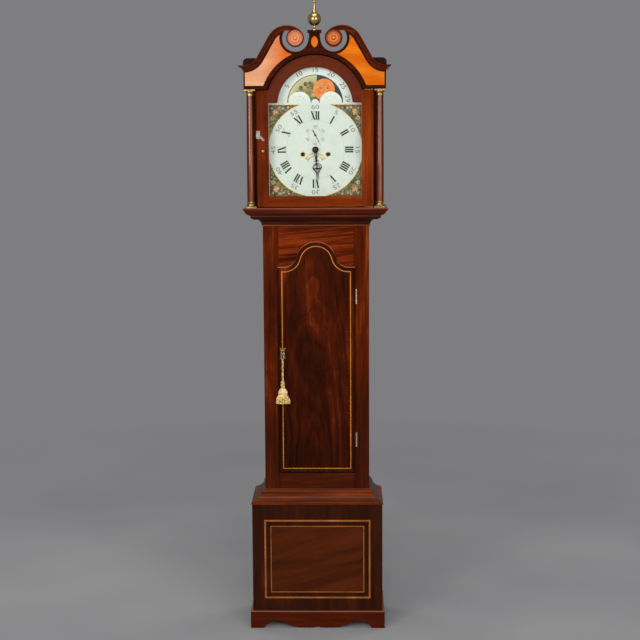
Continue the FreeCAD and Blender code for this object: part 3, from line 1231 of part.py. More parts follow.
def hood_door_hardware():
    """Pivot straps at the door's foot and shoulder, and its knob."""
    solids = []
    for (z0, z1), strap_z in zip(hood_pin_spans(), (HOOD_DOOR_BOTTOM - STRAP_THICK, HOOD_DOOR_SHOULDER)):
        plate = block(STRAP_X - STRAP_LENGTH, STRAP_X + STRAP_PIN_R, STRAP_Y - STRAP_PIN_R, HOOD_DOOR_BACK,
                      strap_z, strap_z + STRAP_THICK)
        solids.append(fused(plate, rod_z(STRAP_X, STRAP_Y, STRAP_PIN_R, z0, z1)))
    stem = 0.45 * KNOB_R
    steps = ((0.0, 0.0), (KNOB_R, 0.0), (KNOB_R, 1.0), (stem, 2.0), (stem, KNOB_LENGTH - 1.6 * KNOB_R),
             ((KNOB_R, KNOB_LENGTH - 0.8 * KNOB_R), (0.1 * KNOB_R, KNOB_LENGTH)), (0.0, KNOB_LENGTH))
    solids.append(turned_y(-KNOB_X, HOOD_DOOR_Y, DIAL_Z - KNOB_DROP, steps))
    return solids


def hood_door_latch():
    """Turn catch on the left stile."""
    y = HOOD_DOOR_Y - LATCH_THICK
    x = -LATCH_X
    tip_x = x - LATCH_ARM * math.sqrt(0.5)
    tip_z = LATCH_Z + LATCH_ARM * math.sqrt(0.5)
    half = LATCH_SCREW_R
    arm = front_prism(((x - half, LATCH_Z - half), (x + half, LATCH_Z + half), (tip_x + half, tip_z + half),
                       (tip_x - half, tip_z - half)), y, HOOD_DOOR_Y)
    plate = block(tip_x - LATCH_PLATE_WIDTH / 2, tip_x + LATCH_PLATE_WIDTH / 2, y, HOOD_DOOR_Y,
                  tip_z - LATCH_PLATE_HEIGHT / 2, tip_z + LATCH_PLATE_HEIGHT / 2)
    screw = rod_y(x, LATCH_Z, 1.6 * LATCH_SCREW_R, y - LATCH_THICK / 2, HOOD_DOOR_Y)
    return [fused(arm, plate, screw)]


# Gears

def gear(x, z, teeth, module, y, thick, phase, leaves=False):
    """Toothed disc with a tooth at the given clockwise angle. Leaves are the thinner teeth of a pinion."""
    pitch = teeth * module / 2
    tip = pitch + (0.6 if leaves else 0.95) * module
    root = pitch - (1.3 if leaves else 1.05) * module
    share = 0.32 if leaves else 0.42
    step = 360.0 / teeth
    points = []
    for tooth in range(teeth):
        middle = phase + tooth * step
        flank = ((root, -0.58), (pitch, -0.5), (tip, -0.22), (tip, 0.22), (pitch, 0.5), (root, 0.58))
        for radius, turn in flank:
            points.append(clock_point(x, z, radius, middle + turn * share * step))
    return front_prism(points, y, y + thick)


def wheel(x, z, teeth, module, y, thick, phase, hub):
    """Gear with four crossings between hub and rim."""
    disc = gear(x, z, teeth, module, y, thick, phase)
    rim = teeth * module / 2 - 3.6 * module
    arm = 2.4 * module
    windows = rod_y(x, z, rim, y, y + thick).cut(rod_y(x, z, hub, y, y + thick))
    windows = windows.cut(block(x - rim, x + rim, y, y + thick, z - arm / 2, z + arm / 2))
    windows = windows.cut(block(x - arm / 2, x + arm / 2, y, y + thick, z - rim, z + rim))
    return disc.cut(windows)


def pinion_phase(toward, teeth):
    """Turn of a pinion whose gap faces a wheel that lies at the given clockwise angle from it."""
    return toward + 180.0 / teeth


def train_arbor(x, z):
    """Arbor between the plates with a pivot at each end."""
    body = rod_y(x, z, ARBOR_R, TRAIN_Y + END_SHAKE, BACK_PLATE_Y - END_SHAKE)
    pivots = rod_y(x, z, PIVOT_R, PLATE_Y, BACK_PLATE_Y + PLATE_THICK)
    return body.fuse(pivots)


def great_wheel(x, teeth, phase):
    """Great wheel, loose on its barrel arbor."""
    y = TRAIN_Y + GREAT_LAYER
    disc = wheel(x, BARREL_Z, teeth, GREAT_MODULE, y, GREAT_THICK, phase, 2.4 * BARREL_ARBOR_R)
    return disc.cut(rod_y(x, BARREL_Z, BARREL_ARBOR_R + RUN_CLEAR, TRAIN_Y, BACK_PLATE_Y))


def barrel(x):
    """Grooved drum on its arbor, with a winding square behind the dial."""
    drum = rod_y(x, BARREL_Z, DRUM_R, TRAIN_Y + DRUM_FRONT, TRAIN_Y + DRUM_FRONT + DRUM_LENGTH)
    arbor = rod_y(x, BARREL_Z, BARREL_ARBOR_R, PLATE_Y - MOTION_GAP, BACK_PLATE_Y - END_SHAKE)
    pivot = rod_y(x, BARREL_Z, 2 * PIVOT_R, BACK_PLATE_Y - END_SHAKE, BACK_PLATE_Y + PLATE_THICK)
    square = block(x - SQUARE / 2, x + SQUARE / 2, DIAL_BACK_Y + DISC_GAP, PLATE_Y - MOTION_GAP,
                   BARREL_Z - SQUARE / 2, BARREL_Z + SQUARE / 2)
    return [fused(drum, arbor, pivot, square)]


def center_wheel():
    """Centre arbor with its pinion and wheel, and the cannon wheel and pipe that carry the minute hand."""
    disc = wheel(0.0, DIAL_Z, CENTRE_TEETH, CENTRE_MODULE, TRAIN_Y + CENTRE_LAYER, WHEEL_THICK, THIRD_ANGLE,
                 WHEEL_HUB_R)
    pinion = gear(0.0, DIAL_Z, PINION_LEAVES, GREAT_MODULE, TRAIN_Y + GREAT_LAYER - 1.0, GREAT_THICK + 2.0,
                  pinion_phase(GREAT_ANGLE, PINION_LEAVES), leaves=True)
    arbor = rod_y(0.0, DIAL_Z, ARBOR_R, TRAIN_Y, BACK_PLATE_Y - END_SHAKE)
    pivot = rod_y(0.0, DIAL_Z, PIVOT_R, BACK_PLATE_Y - END_SHAKE, BACK_PLATE_Y + PLATE_THICK)
    hand_y = DIAL_Y - MINUTE_HAND_OFF - HAND_THICK
    front = rod_y(0.0, DIAL_Z, CENTRE_ARBOR_R, hand_y, TRAIN_Y)
    cannon = wheel(0.0, DIAL_Z, CANNON_TEETH, CANNON_MODULE, CANNON_Y, WHEEL_THICK, 180.0,
                   CANNON_PIPE_R + 1.5)
    pipe = rod_y(0.0, DIAL_Z, CANNON_PIPE_R, DIAL_Y - MINUTE_HAND_OFF, CANNON_Y)
    collet = rod_y(0.0, DIAL_Z, 1.6 * CANNON_PIPE_R, hand_y - 1.5, hand_y)
    return [fused(disc, pinion, arbor, pivot, front, cannon, pipe, collet)]


def minute_wheel():
    """Minute wheel and its pinion on a stud below the centre."""
    z = DIAL_Z - MOTION_DISTANCE
    phase = pinion_phase(0.0, CANNON_TEETH)
    disc = wheel(0.0, z, CANNON_TEETH, CANNON_MODULE, CANNON_Y, WHEEL_THICK, phase, WHEEL_HUB_R)
    pinion = gear(0.0, z, MINUTE_LEAVES, HOUR_MODULE, HOUR_WHEEL_Y - 1.0, CANNON_Y - HOUR_WHEEL_Y + 1.0,
                  pinion_phase(0.0, MINUTE_LEAVES), leaves=True)
    bore = rod_y(0.0, z, MINUTE_STUD_R + RUN_CLEAR, HOUR_WHEEL_Y - 2.0, PLATE_Y)
    return [fused(disc, pinion).cut(bore)]


def hour_wheel():
    """Hour wheel on its pipe."""
    disc = wheel(0.0, DIAL_Z, HOUR_TEETH, HOUR_MODULE, HOUR_WHEEL_Y, WHEEL_THICK, 180.0, HOUR_PIPE_R + 2.0)
    pipe = rod_y(0.0, DIAL_Z, HOUR_PIPE_R, DIAL_Y - HOUR_HAND_OFF - HAND_THICK, HOUR_WHEEL_Y + WHEEL_THICK)
    bore = rod_y(0.0, DIAL_Z, CANNON_PIPE_R + RUN_CLEAR, DIAL_Y - MINUTE_HAND_OFF, CANNON_Y)
    return [fused(disc, pipe).cut(bore)]


def third_wheel():
    """Third wheel and its pinion."""
    to_escape = math.degrees(math.atan2(-THIRD_X, ESCAPE_Z - THIRD_Z))
    disc = wheel(THIRD_X, THIRD_Z, THIRD_TEETH, THIRD_MODULE, TRAIN_Y + THIRD_LAYER, WHEEL_THICK, to_escape,
                 WHEEL_HUB_R)
    pinion = gear(THIRD_X, THIRD_Z, PINION_LEAVES, CENTRE_MODULE, TRAIN_Y + CENTRE_LAYER - 1.0, PINION_LENGTH,
                  pinion_phase(THIRD_ANGLE + 180.0, PINION_LEAVES), leaves=True)
    return [fused(disc, pinion, train_arbor(THIRD_X, THIRD_Z))]


def escape_wheel():
    """Escape wheel with hooked teeth, its pinion, and the long pivot that carries the seconds hand."""
    points = []
    step = 360.0 / ESCAPE_TEETH
    for tooth in range(ESCAPE_TEETH):
        points.append(clock_point(0.0, ESCAPE_Z, ESCAPE_ROOT_R, tooth * step))
        points.append(clock_point(0.0, ESCAPE_Z, ESCAPE_R, (tooth + 0.75) * step))
        points.append(clock_point(0.0, ESCAPE_Z, ESCAPE_R, (tooth + 0.82) * step))
    y = TRAIN_Y + ESCAPE_LAYER
    disc = front_prism(points, y, y + WHEEL_THICK)
    to_third = math.degrees(math.atan2(THIRD_X, THIRD_Z - ESCAPE_Z))
    pinion = gear(0.0, ESCAPE_Z, PINION_LEAVES, THIRD_MODULE,
                  TRAIN_Y + THIRD_LAYER - 1.0, PINION_LENGTH - 1.0,
                  pinion_phase(to_third, PINION_LEAVES), leaves=True)
    pivot = rod_y(0.0, ESCAPE_Z, SECONDS_ARBOR_R, DIAL_Y - SECONDS_HAND_OFF - HAND_THICK,
                  PLATE_Y + PLATE_THICK)
    return [fused(disc, pinion, train_arbor(0.0, ESCAPE_Z), pivot)]


def pin_wheel():
    """Strike wheel with the pins that lift the hammer."""
    y = TRAIN_Y + CENTRE_LAYER
    to_great = math.degrees(math.atan2(-BARREL_X - PIN_WHEEL_X, BARREL_Z - PIN_WHEEL_Z))
    disc = wheel(PIN_WHEEL_X, PIN_WHEEL_Z, PIN_WHEEL_TEETH, PIN_WHEEL_MODULE, y, WHEEL_THICK, 0.0,
                 WHEEL_HUB_R)
    pinion = gear(PIN_WHEEL_X, PIN_WHEEL_Z, PINION_LEAVES, GREAT_MODULE, TRAIN_Y + GREAT_LAYER - 1.0,
                  GREAT_THICK + 2.0, pinion_phase(to_great, PINION_LEAVES), leaves=True)
    pins = []
    for index in range(PIN_COUNT):
        x, z = clock_point(PIN_WHEEL_X, PIN_WHEEL_Z, PIN_CIRCLE_R, index * 360.0 / PIN_COUNT)
        pins.append(rod_y(x, z, PIN_R, y - PIN_LENGTH, y))
    return [fused(disc, pinion, train_arbor(PIN_WHEEL_X, PIN_WHEEL_Z), *pins)]


# Frame of the movement, escapement and pendulum

def movement_frame():
    """Plates, pillars, minute stud and the back cock."""
    low = SEAT_TOP
    high = DIAL_Z + PLATE_ABOVE
    plate = block(-PLATE_HALF_WIDTH, PLATE_HALF_WIDTH, PLATE_Y, TRAIN_Y, low, high)
    back = block(-PLATE_HALF_WIDTH, PLATE_HALF_WIDTH, BACK_PLATE_Y, BACK_PLATE_Y + PLATE_THICK, low, high)
    pivots = [(THIRD_X, THIRD_Z), (PIN_WHEEL_X, PIN_WHEEL_Z), (HAMMER_X, DIAL_Z + HAMMER_RISE)]
    through = [(0.0, DIAL_Z, CENTRE_ARBOR_R, PIVOT_R), (0.0, ESCAPE_Z, SECONDS_ARBOR_R, PIVOT_R),
               (BARREL_X, BARREL_Z, BARREL_ARBOR_R, 2 * PIVOT_R),
               (-BARREL_X, BARREL_Z, BARREL_ARBOR_R, 2 * PIVOT_R),
               (0.0, ANCHOR_Z, PIVOT_R, ARBOR_R)]
    holes = [(x, z, PIVOT_R, PIVOT_R) for x, z in pivots] + through
    for x, z, front_r, back_r in holes:
        plate = plate.cut(rod_y(x, z, front_r + RUN_CLEAR, PLATE_Y, TRAIN_Y))
        back = back.cut(rod_y(x, z, back_r + RUN_CLEAR, BACK_PLATE_Y, BACK_PLATE_Y + PLATE_THICK))
    pillars = []
    for x in (-PILLAR_X, PILLAR_X):
        for rise in (PILLAR_HIGH, -PILLAR_LOW):
            pillars.append(rod_y(x, DIAL_Z + rise, PILLAR_R, TRAIN_Y, BACK_PLATE_Y))
    stud = rod_y(0.0, DIAL_Z - MOTION_DISTANCE, MINUTE_STUD_R, HOUR_WHEEL_Y - 2.0, PLATE_Y)
    outer = BACK_PLATE_Y + PLATE_THICK
    low_face = ANCHOR_Z + COCK_GAP
    half = COCK_WIDTH / 2
    lug_y = outer + 2 * CRUTCH_BACK
    arm = block(-half, half, outer, PENDULUM_Y + SPRING_WIDTH, low_face, low_face + COCK_HEIGHT)
    lug = block(-half, half, lug_y, lug_y + PLATE_THICK,
                ANCHOR_Z - COCK_HEIGHT, low_face + COCK_HEIGHT)
    bearing = rod_y(0.0, ANCHOR_Z, PIVOT_R + RUN_CLEAR, outer, PENDULUM_Y - SPRING_WIDTH)
    room = rod_y(0.0, ANCHOR_Z, 2 * ARBOR_R, outer, outer + 2 * CRUTCH_BACK)
    cock = fused(arm, lug).cut(bearing).cut(room)
    return [plate, back, stud, cock] + pillars


def anchor():
    """Anchor on its arbor, and the crutch behind the back plate."""
    y = TRAIN_Y + ESCAPE_LAYER - 1.0
    wide = ANCHOR_SPREAD
    foot = ANCHOR_Z - ANCHOR_DROP
    steps = ((0.0, ANCHOR_Z + 5.0), (wide, foot + 3.0), (wide + 1.0, foot), (wide - 3.0, foot + 1.0),
             (0.0, ANCHOR_Z - 3.5), (3.0 - wide, foot + 1.0), (-1.0 - wide, foot), (-wide, foot + 3.0))
    body = front_prism(steps, y, y + ANCHOR_THICK)
    crutch_y = BACK_PLATE_Y + PLATE_THICK + CRUTCH_BACK
    arbor = rod_y(0.0, ANCHOR_Z, ARBOR_R, TRAIN_Y + END_SHAKE, crutch_y + 2 * CRUTCH_R)
    front_pivot = rod_y(0.0, ANCHOR_Z, PIVOT_R, PLATE_Y, TRAIN_Y + END_SHAKE)
    back_pivot = rod_y(0.0, ANCHOR_Z, PIVOT_R, crutch_y, crutch_y + CRUTCH_BACK + PLATE_THICK)
    low = ANCHOR_Z - CRUTCH_LENGTH
    hanging = rod_z(0.0, crutch_y, CRUTCH_R, low, ANCHOR_Z)
    half = ROD_R + END_SHAKE
    fork = block(-half - 2 * CRUTCH_R, half + 2 * CRUTCH_R, crutch_y - 2 * CRUTCH_R, PENDULUM_Y + ROD_R,
                 low - CRUTCH_R, low + CRUTCH_R)
    fork = fork.cut(block(-half, half, PENDULUM_Y - ROD_R - END_SHAKE, PENDULUM_Y + 2 * ROD_R,
                          low - CRUTCH_R, low + CRUTCH_R))
    return [fused(body, arbor, front_pivot, back_pivot, hanging, fork)]


def pendulum_rod():
    """Suspension spring, rod and rating nut."""
    spring = block(-SPRING_WIDTH / 2, SPRING_WIDTH / 2,
                   PENDULUM_Y - SPRING_THICK / 2, PENDULUM_Y + SPRING_THICK / 2,
                   ANCHOR_Z - SPRING_LENGTH, ANCHOR_Z)
    bob_z = ANCHOR_Z - PENDULUM_LENGTH
    nut_top = bob_z - BOB_R - END_SHAKE
    rod = rod_z(0.0, PENDULUM_Y, ROD_R, nut_top - 2 * NUT_HEIGHT, ANCHOR_Z - SPRING_LENGTH + 2.0)
    nut = rod_z(0.0, PENDULUM_Y, NUT_R, nut_top - NUT_HEIGHT, nut_top)
    return [fused(spring, rod), nut.cut(rod_z(0.0, PENDULUM_Y, ROD_R, nut_top - NUT_HEIGHT, nut_top))]


def pendulum_bob():
    """Lens-shaped bob, bored for the rod."""
    half = BOB_THICK / 2
    z = ANCHOR_Z - PENDULUM_LENGTH
    steps = ((0.0, -half), ((0.62 * BOB_R, -0.62 * half), (BOB_R, -1.5)), (BOB_R, 1.5),
             ((0.62 * BOB_R, 0.62 * half), (0.0, half)))
    bob = turned_y(0.0, PENDULUM_Y, z, steps)
    return [bob.cut(rod_z(0.0, PENDULUM_Y, ROD_R, z - 2 * BOB_R, z + 2 * BOB_R))]


# Bell and hammer

def bell():
    """Bell on a rod behind the back plate."""
    y = BACK_PLATE_Y + PLATE_THICK + BELL_ROD_R
    z = DIAL_Z + BELL_RISE
    inner = BELL_R - BELL_WALL
    crown = 0.35 * BELL_R
    steps = ((BELL_R, 0.0), ((0.86 * BELL_R, 0.6 * BELL_HEIGHT), (crown, BELL_HEIGHT)),
             (BELL_ROD_R, BELL_HEIGHT),
             (BELL_ROD_R, BELL_HEIGHT - BELL_WALL), (crown, BELL_HEIGHT - BELL_WALL),
             ((0.86 * inner, 0.6 * (BELL_HEIGHT - BELL_WALL)), (inner, 0.0)))
    shell = turned_z(BELL_X, y, z, steps)
    foot = block(BELL_X - BELL_ROD_R, BELL_X + BELL_ROD_R, BACK_PLATE_Y + PLATE_THICK, y + BELL_ROD_R,
                 DIAL_Z + PLATE_ABOVE - 2 * BELL_FOOT, DIAL_Z + PLATE_ABOVE)
    stem = rod_z(BELL_X, y, BELL_ROD_R, DIAL_Z + PLATE_ABOVE - BELL_FOOT, z + BELL_HEIGHT)
    nut = rod_z(BELL_X, y, 2 * BELL_ROD_R, z + BELL_HEIGHT, z + BELL_HEIGHT + 2 * BELL_ROD_R)
    return [shell, fused(foot, stem), nut]


def hammer():
    """Hammer on its own arbor, with a tail for the pins of the pin wheel."""
    y = TRAIN_Y + HAMMER_LAYER
    z = DIAL_Z + HAMMER_RISE
    bell_y = BACK_PLATE_Y + PLATE_THICK + BELL_ROD_R
    rim = BELL_X - math.sqrt(BELL_R ** 2 - (bell_y - y) ** 2)
    head_x = rim - HAMMER_GAP - HAMMER_HEAD_LENGTH / 2
    half = HAMMER_BAR / 2
    reach = HAMMER_HEAD_LENGTH / 2
    arm = front_prism(((HAMMER_X - half, z), (HAMMER_X + half, z), (head_x + half, z + HAMMER_ARM),
                       (head_x - half, z + HAMMER_ARM)), y - half, y + half)
    head = rod_x(head_x - reach, head_x + reach, y, z + HAMMER_ARM, HAMMER_HEAD_R)
    tail = block(HAMMER_X - half, HAMMER_X + half, y - half, y + half, z - HAMMER_TAIL, z)
    return [fused(arm, head, tail, train_arbor(HAMMER_X, z))]


# Dial, discs and hands

def dial_plate():
    """Painted arched dial with its feet and the studs of both discs."""
    y1 = DIAL_BACK_Y
    plate = front_prism(arched(DIAL_HALF, DIAL_Z - DIAL_HALF, DIAL_Z + DIAL_HALF, DIAL_ARCH_R), DIAL_Y, y1)
    window = rod_y(0.0, MOON_Z, MOON_WINDOW_R, DIAL_Y, y1)
    window = window.common(block(-DIAL_HALF, DIAL_HALF, DIAL_Y, y1, MOON_Z, MOON_Z + DIAL_HALF))
    for x, radius in ((-MOON_HUMP_X, MOON_HUMP_R), (MOON_HUMP_X, MOON_HUMP_R), (0.0, MOON_MIDDLE_R)):
        window = window.cut(rod_y(x, MOON_Z, radius, DIAL_Y, y1))
    slot = rod_y(0.0, CALENDAR_Z, CALENDAR_SLOT_R + CALENDAR_SLOT / 2, DIAL_Y, y1)
    slot = slot.cut(rod_y(0.0, CALENDAR_Z, CALENDAR_SLOT_R - CALENDAR_SLOT / 2, DIAL_Y, y1))
    reach = 2 * CALENDAR_DISC_R
    left = clock_point(0.0, CALENDAR_Z, reach, -CALENDAR_SLOT_ANGLE)
    right = clock_point(0.0, CALENDAR_Z, reach, CALENDAR_SLOT_ANGLE)
    slot = slot.common(front_prism(((0.0, CALENDAR_Z), left, (0.0, CALENDAR_Z + reach), right), DIAL_Y, y1))
    plate = plate.cut([window, slot])
    holes = [(0.0, DIAL_Z, HOUR_PIPE_R + 1.0), (0.0, ESCAPE_Z, SECONDS_ARBOR_R + 1.0),
             (BARREL_X, BARREL_Z, WINDING_HOLE_R), (-BARREL_X, BARREL_Z, WINDING_HOLE_R)]
    for x, z, radius in holes:
        plate = plate.cut(rod_y(x, z, radius, DIAL_Y, y1))
    solids = [plate]
    for x in (-DIAL_FOOT_X, DIAL_FOOT_X):
        for rise in (DIAL_FOOT_HIGH, -DIAL_FOOT_LOW):
            solids.append(rod_y(x, DIAL_Z + rise, DIAL_FOOT_R, y1, PLATE_Y))
    disc_end = y1 + DISC_GAP + DISC_THICK + DISC_GAP
    for z in (MOON_Z, CALENDAR_Z):
        stud = rod_y(0.0, z, DISC_STUD_R, y1, disc_end)
        solids.append(fused(stud, rod_y(0.0, z, DISC_STUD_HEAD, disc_end, disc_end + 1.5)))
    return solids


def painted_disc(z, radius):
    """Thin disc that turns on a stud behind the dial."""
    y = DIAL_BACK_Y + DISC_GAP
    disc = rod_y(0.0, z, radius, y, y + DISC_THICK)
    return [disc.cut(rod_y(0.0, z, DISC_STUD_R + RUN_CLEAR, y, y + DISC_THICK))]


def bar(start, end, width, y, end_width=None):
    """Flat strip between two points in (x, z), which may taper."""
    along = math.hypot(end[0] - start[0], end[1] - start[1])
    nx = (end[1] - start[1]) / along / 2
    nz = (start[0] - end[0]) / along / 2
    last = width if end_width is None else end_width
    steps = ((start[0] - nx * width, start[1] - nz * width), (start[0] + nx * width, start[1] + nz * width),
             (end[0] + nx * last, end[1] + nz * last), (end[0] - nx * last, end[1] - nz * last))
    return front_prism(steps, y, y + HAND_THICK)


def flat_ring(x, z, outer, inner, y):
    """Flat ring of a hand."""
    return rod_y(x, z, outer, y, y + HAND_THICK).cut(rod_y(x, z, inner, y, y + HAND_THICK))


def pierced_hand(length, hoop, hoop_z, bore, y, angle):
    """Pierced steel hand, drawn upright and then turned to its hour."""
    lyre = 0.55 * hoop_z
    point_z = hoop_z + 1.35 * hoop
    pieces = [rod_y(0.0, 0.0, HAND_BOSS_R, y, y + HAND_THICK)]
    for side in (-1, 1):
        pieces.append(bar((side * 4.0, HAND_BOSS_R - 2.0), (side * 1.2, lyre), HAND_BAR, y))
        shoulder = (side * 0.55 * hoop, hoop_z + 0.55 * hoop)
        pieces.append(bar((side * 0.95 * hoop, hoop_z), shoulder, HAND_BAR, y))
        pieces.append(bar(shoulder, (0.0, point_z), HAND_BAR, y))
    pieces.append(bar((-0.06 * length, lyre + 4.0), (0.06 * length, lyre + 4.0), HAND_BAR, y))
    pieces.append(bar((0.0, lyre - 2.0), (0.0, hoop_z + 0.6 * hoop), HAND_BAR, y))
    pieces.append(bar((-0.9 * hoop, hoop_z + 0.15 * hoop), (0.9 * hoop, hoop_z + 0.15 * hoop), HAND_BAR, y))
    upper = flat_ring(0.0, hoop_z, hoop, hoop - HAND_BAR, y)
    pieces.append(upper.common(block(-hoop, hoop, y, y + HAND_THICK, hoop_z - hoop, hoop_z + 0.1)))
    pieces.append(bar((0.0, point_z - HAND_BAR), (0.0, length), 1.6 * HAND_BAR, y, HAND_POINT))
    hand = fused(*pieces).cut(rod_y(0.0, 0.0, bore, y, y + HAND_THICK))
    hand.rotate(Vector(0, 0, 0), Vector(0, 1, 0), angle)
    hand.translate(Vector(0.0, 0.0, DIAL_Z))
    return [hand]


def hour_hand():
    """Hour hand on the hour pipe."""
    y = DIAL_Y - HOUR_HAND_OFF - HAND_THICK
    return pierced_hand(HOUR_HAND_LENGTH, HOUR_HOOP_R, HOUR_HOOP_RISE, HOUR_PIPE_R, y, HOUR_HAND_ANGLE)


def minute_hand():
    """Minute hand on the centre arbor."""
    y = DIAL_Y - MINUTE_HAND_OFF - HAND_THICK
    return pierced_hand(MINUTE_HAND_LENGTH, MINUTE_HOOP_R, MINUTE_HOOP_RISE, CENTRE_ARBOR_R, y,
                        MINUTE_HAND_ANGLE)


def seconds_hand():
    """Slim seconds hand with a counterpoise."""
    y = DIAL_Y - SECONDS_HAND_OFF - HAND_THICK
    boss = rod_y(0.0, 0.0, 1.8 * HAND_BAR, y, y + HAND_THICK)
    pointer = bar((0.0, 0.0), (0.0, SECONDS_HAND_LENGTH), HAND_BAR, y, HAND_POINT)
    tail = bar((0.0, 0.0), (0.0, -SECONDS_HAND_TAIL), HAND_BAR, y, 1.7 * HAND_BAR)
    hand = fused(boss, pointer, tail).cut(rod_y(0.0, 0.0, SECONDS_ARBOR_R, y, y + HAND_THICK))
    hand.rotate(Vector(0, 0, 0), Vector(0, 1, 0), SECONDS_HAND_ANGLE)
    hand.translate(Vector(0.0, 0.0, ESCAPE_Z))
    return [hand]


# Weights

def driving_line(places, pulley_z):
    """Two strands of gut that hang from the seatboard to the pulley."""
    running, middle, fixed = places
    return [rod_z(x, LINE_Y, LINE_R, pulley_z, SEAT_TOP) for x in (running, fixed)]


def pulley(places, z):
    """Grooved pulley."""
    half = PULLEY_WIDTH / 2
    outer = PULLEY_R + PULLEY_FLANGE
    bore = PULLEY_AXLE_R + RUN_CLEAR
    groove = 1.5 * LINE_R
    edge = 0.75 * half
    steps = ((bore, -half), (outer, -half), (outer, -edge), (PULLEY_R, -groove), (PULLEY_R, groove),
             (outer, edge), (outer, half), (bore, half))
    return [turned_y(places[1], LINE_Y, z, steps)]


def weight(places, z):
    """Cased weight that hangs from its pulley's stirrup."""
    x = places[1]
    half = PULLEY_WIDTH / 2 + STIRRUP_GAP
    top = z - STIRRUP_DROP
    outer = half + STIRRUP_THICK
    left = x - STIRRUP_WIDTH / 2
    right = x + STIRRUP_WIDTH / 2
    body_top = top - STIRRUP_FOOT
    stirrup = block(left, right, LINE_Y - outer, LINE_Y + outer, body_top, z + STIRRUP_RISE)
    stirrup = stirrup.cut(block(left, right, LINE_Y - half, LINE_Y + half, top, z + STIRRUP_RISE))
    stirrup = fused(stirrup, rod_y(x, z, PULLEY_AXLE_R, LINE_Y - outer, LINE_Y + outer))
    bevel = WEIGHT_ROUND
    steps = ((0.0, 0.0), (WEIGHT_R - bevel, 0.0), (WEIGHT_R, bevel), (WEIGHT_R, WEIGHT_HEIGHT - bevel),
             (WEIGHT_R - bevel, WEIGHT_HEIGHT), (0.0, WEIGHT_HEIGHT))
    return [stirrup, turned_z(x, LINE_Y, body_top - WEIGHT_HEIGHT, steps)]


GOING, STRIKE = line_places()


def nodes():
    """Every named piece of the clock and its solids."""
    strike_phase = math.degrees(math.atan2(PIN_WHEEL_X + BARREL_X, PIN_WHEEL_Z - BARREL_Z))
    return {
        "base_carcass": base_carcass(),
        "bracket_skirt": bracket_skirt(),
        "base_cap_molding": base_cap_molding(),
        "base_stringing": base_stringing(),
        "backboard": backboard(),
        "trunk_sides": trunk_sides(),
        "trunk_front_frame": trunk_front_frame(),
        "throat_molding": throat_molding(),
        "seatboard": seatboard(),
        "trunk_hinge_case_leaves": trunk_hinge_case_leaves(),
        "movement_frame": movement_frame(),
        "dial_plate": dial_plate(),
        "bell": bell(),
        "hood_base_molding": [piece.cut(hood_pin_holes()) for piece in hood_base_molding()],
        "hood_carcass": hood_carcass(),
        "pediment_board": pediment_board(),
        "finial_plinth": finial_plinth(),
        "pediment_inlay": pediment_inlay(),
        "pediment_moldings": pediment_moldings(),
        "rosettes": rosettes(),
        "finial": finial(),
        "hood_columns": hood_columns(),
        "column_mounts": column_mounts(),
        "hood_door_frame": hood_door_frame(),
        "hood_door_glass": hood_door_glass(),
        "hood_door_hardware": hood_door_hardware(),
        "hood_door_latch": hood_door_latch(),
        "trunk_door_panel": trunk_door_panel(),
        "trunk_door_stringing": [trunk_door_line()],
        "trunk_door_lock": trunk_door_lock(),
        "trunk_hinge_door_leaves": trunk_hinge_door_leaves(),
        "lock_bolt": lock_bolt(),
        "trunk_door_key": trunk_door_key(),
        "tassel_cord": tassel_cord(),
        "tassel": tassel(),
        "minute_hand": minute_hand(),
        "center_wheel": center_wheel(),
        "hour_hand": hour_hand(),
        "hour_wheel": hour_wheel(),
        "minute_wheel": minute_wheel(),
        "third_wheel": third_wheel(),
        "seconds_hand": seconds_hand(),
        "escape_wheel": escape_wheel(),
        "going_great_wheel": [great_wheel(BARREL_X, GREAT_TEETH, GREAT_ANGLE + 180.0)],
        "going_barrel": barrel(BARREL_X),
        "anchor": anchor(),
        "pendulum_rod": pendulum_rod(),
        "pendulum_bob": pendulum_bob(),
        "moon_disc": painted_disc(MOON_Z, MOON_DISC_R),
        "calendar_disc": painted_disc(CALENDAR_Z, CALENDAR_DISC_R),
        "strike_barrel": barrel(-BARREL_X),
        "strike_great_wheel": [great_wheel(-BARREL_X, STRIKE_TEETH, strike_phase)],
        "pin_wheel": pin_wheel(),
        "hammer": hammer(),
        "going_weight": weight(GOING, GOING_PULLEY_Z),
        "strike_weight": weight(STRIKE, STRIKE_PULLEY_Z),
        "going_pulley": pulley(GOING, GOING_PULLEY_Z),
        "strike_pulley": pulley(STRIKE, STRIKE_PULLEY_Z),
        "going_line": driving_line(GOING, GOING_PULLEY_Z),
        "strike_line": driving_line(STRIKE, STRIKE_PULLEY_Z),
    }


os.makedirs("parts", exist_ok=True)
for name, solids in nodes().items():
    shape = Part.makeCompound(solids) if len(solids) > 1 else solids[0]
    shape.exportStep("parts/" + name + ".step")
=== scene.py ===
import random
from collections import defaultdict
from math import acos, asin, atan2, cos, degrees, hypot, pi, radians, sin, sqrt

import bmesh
import bpy
from mathutils import Matrix, Vector


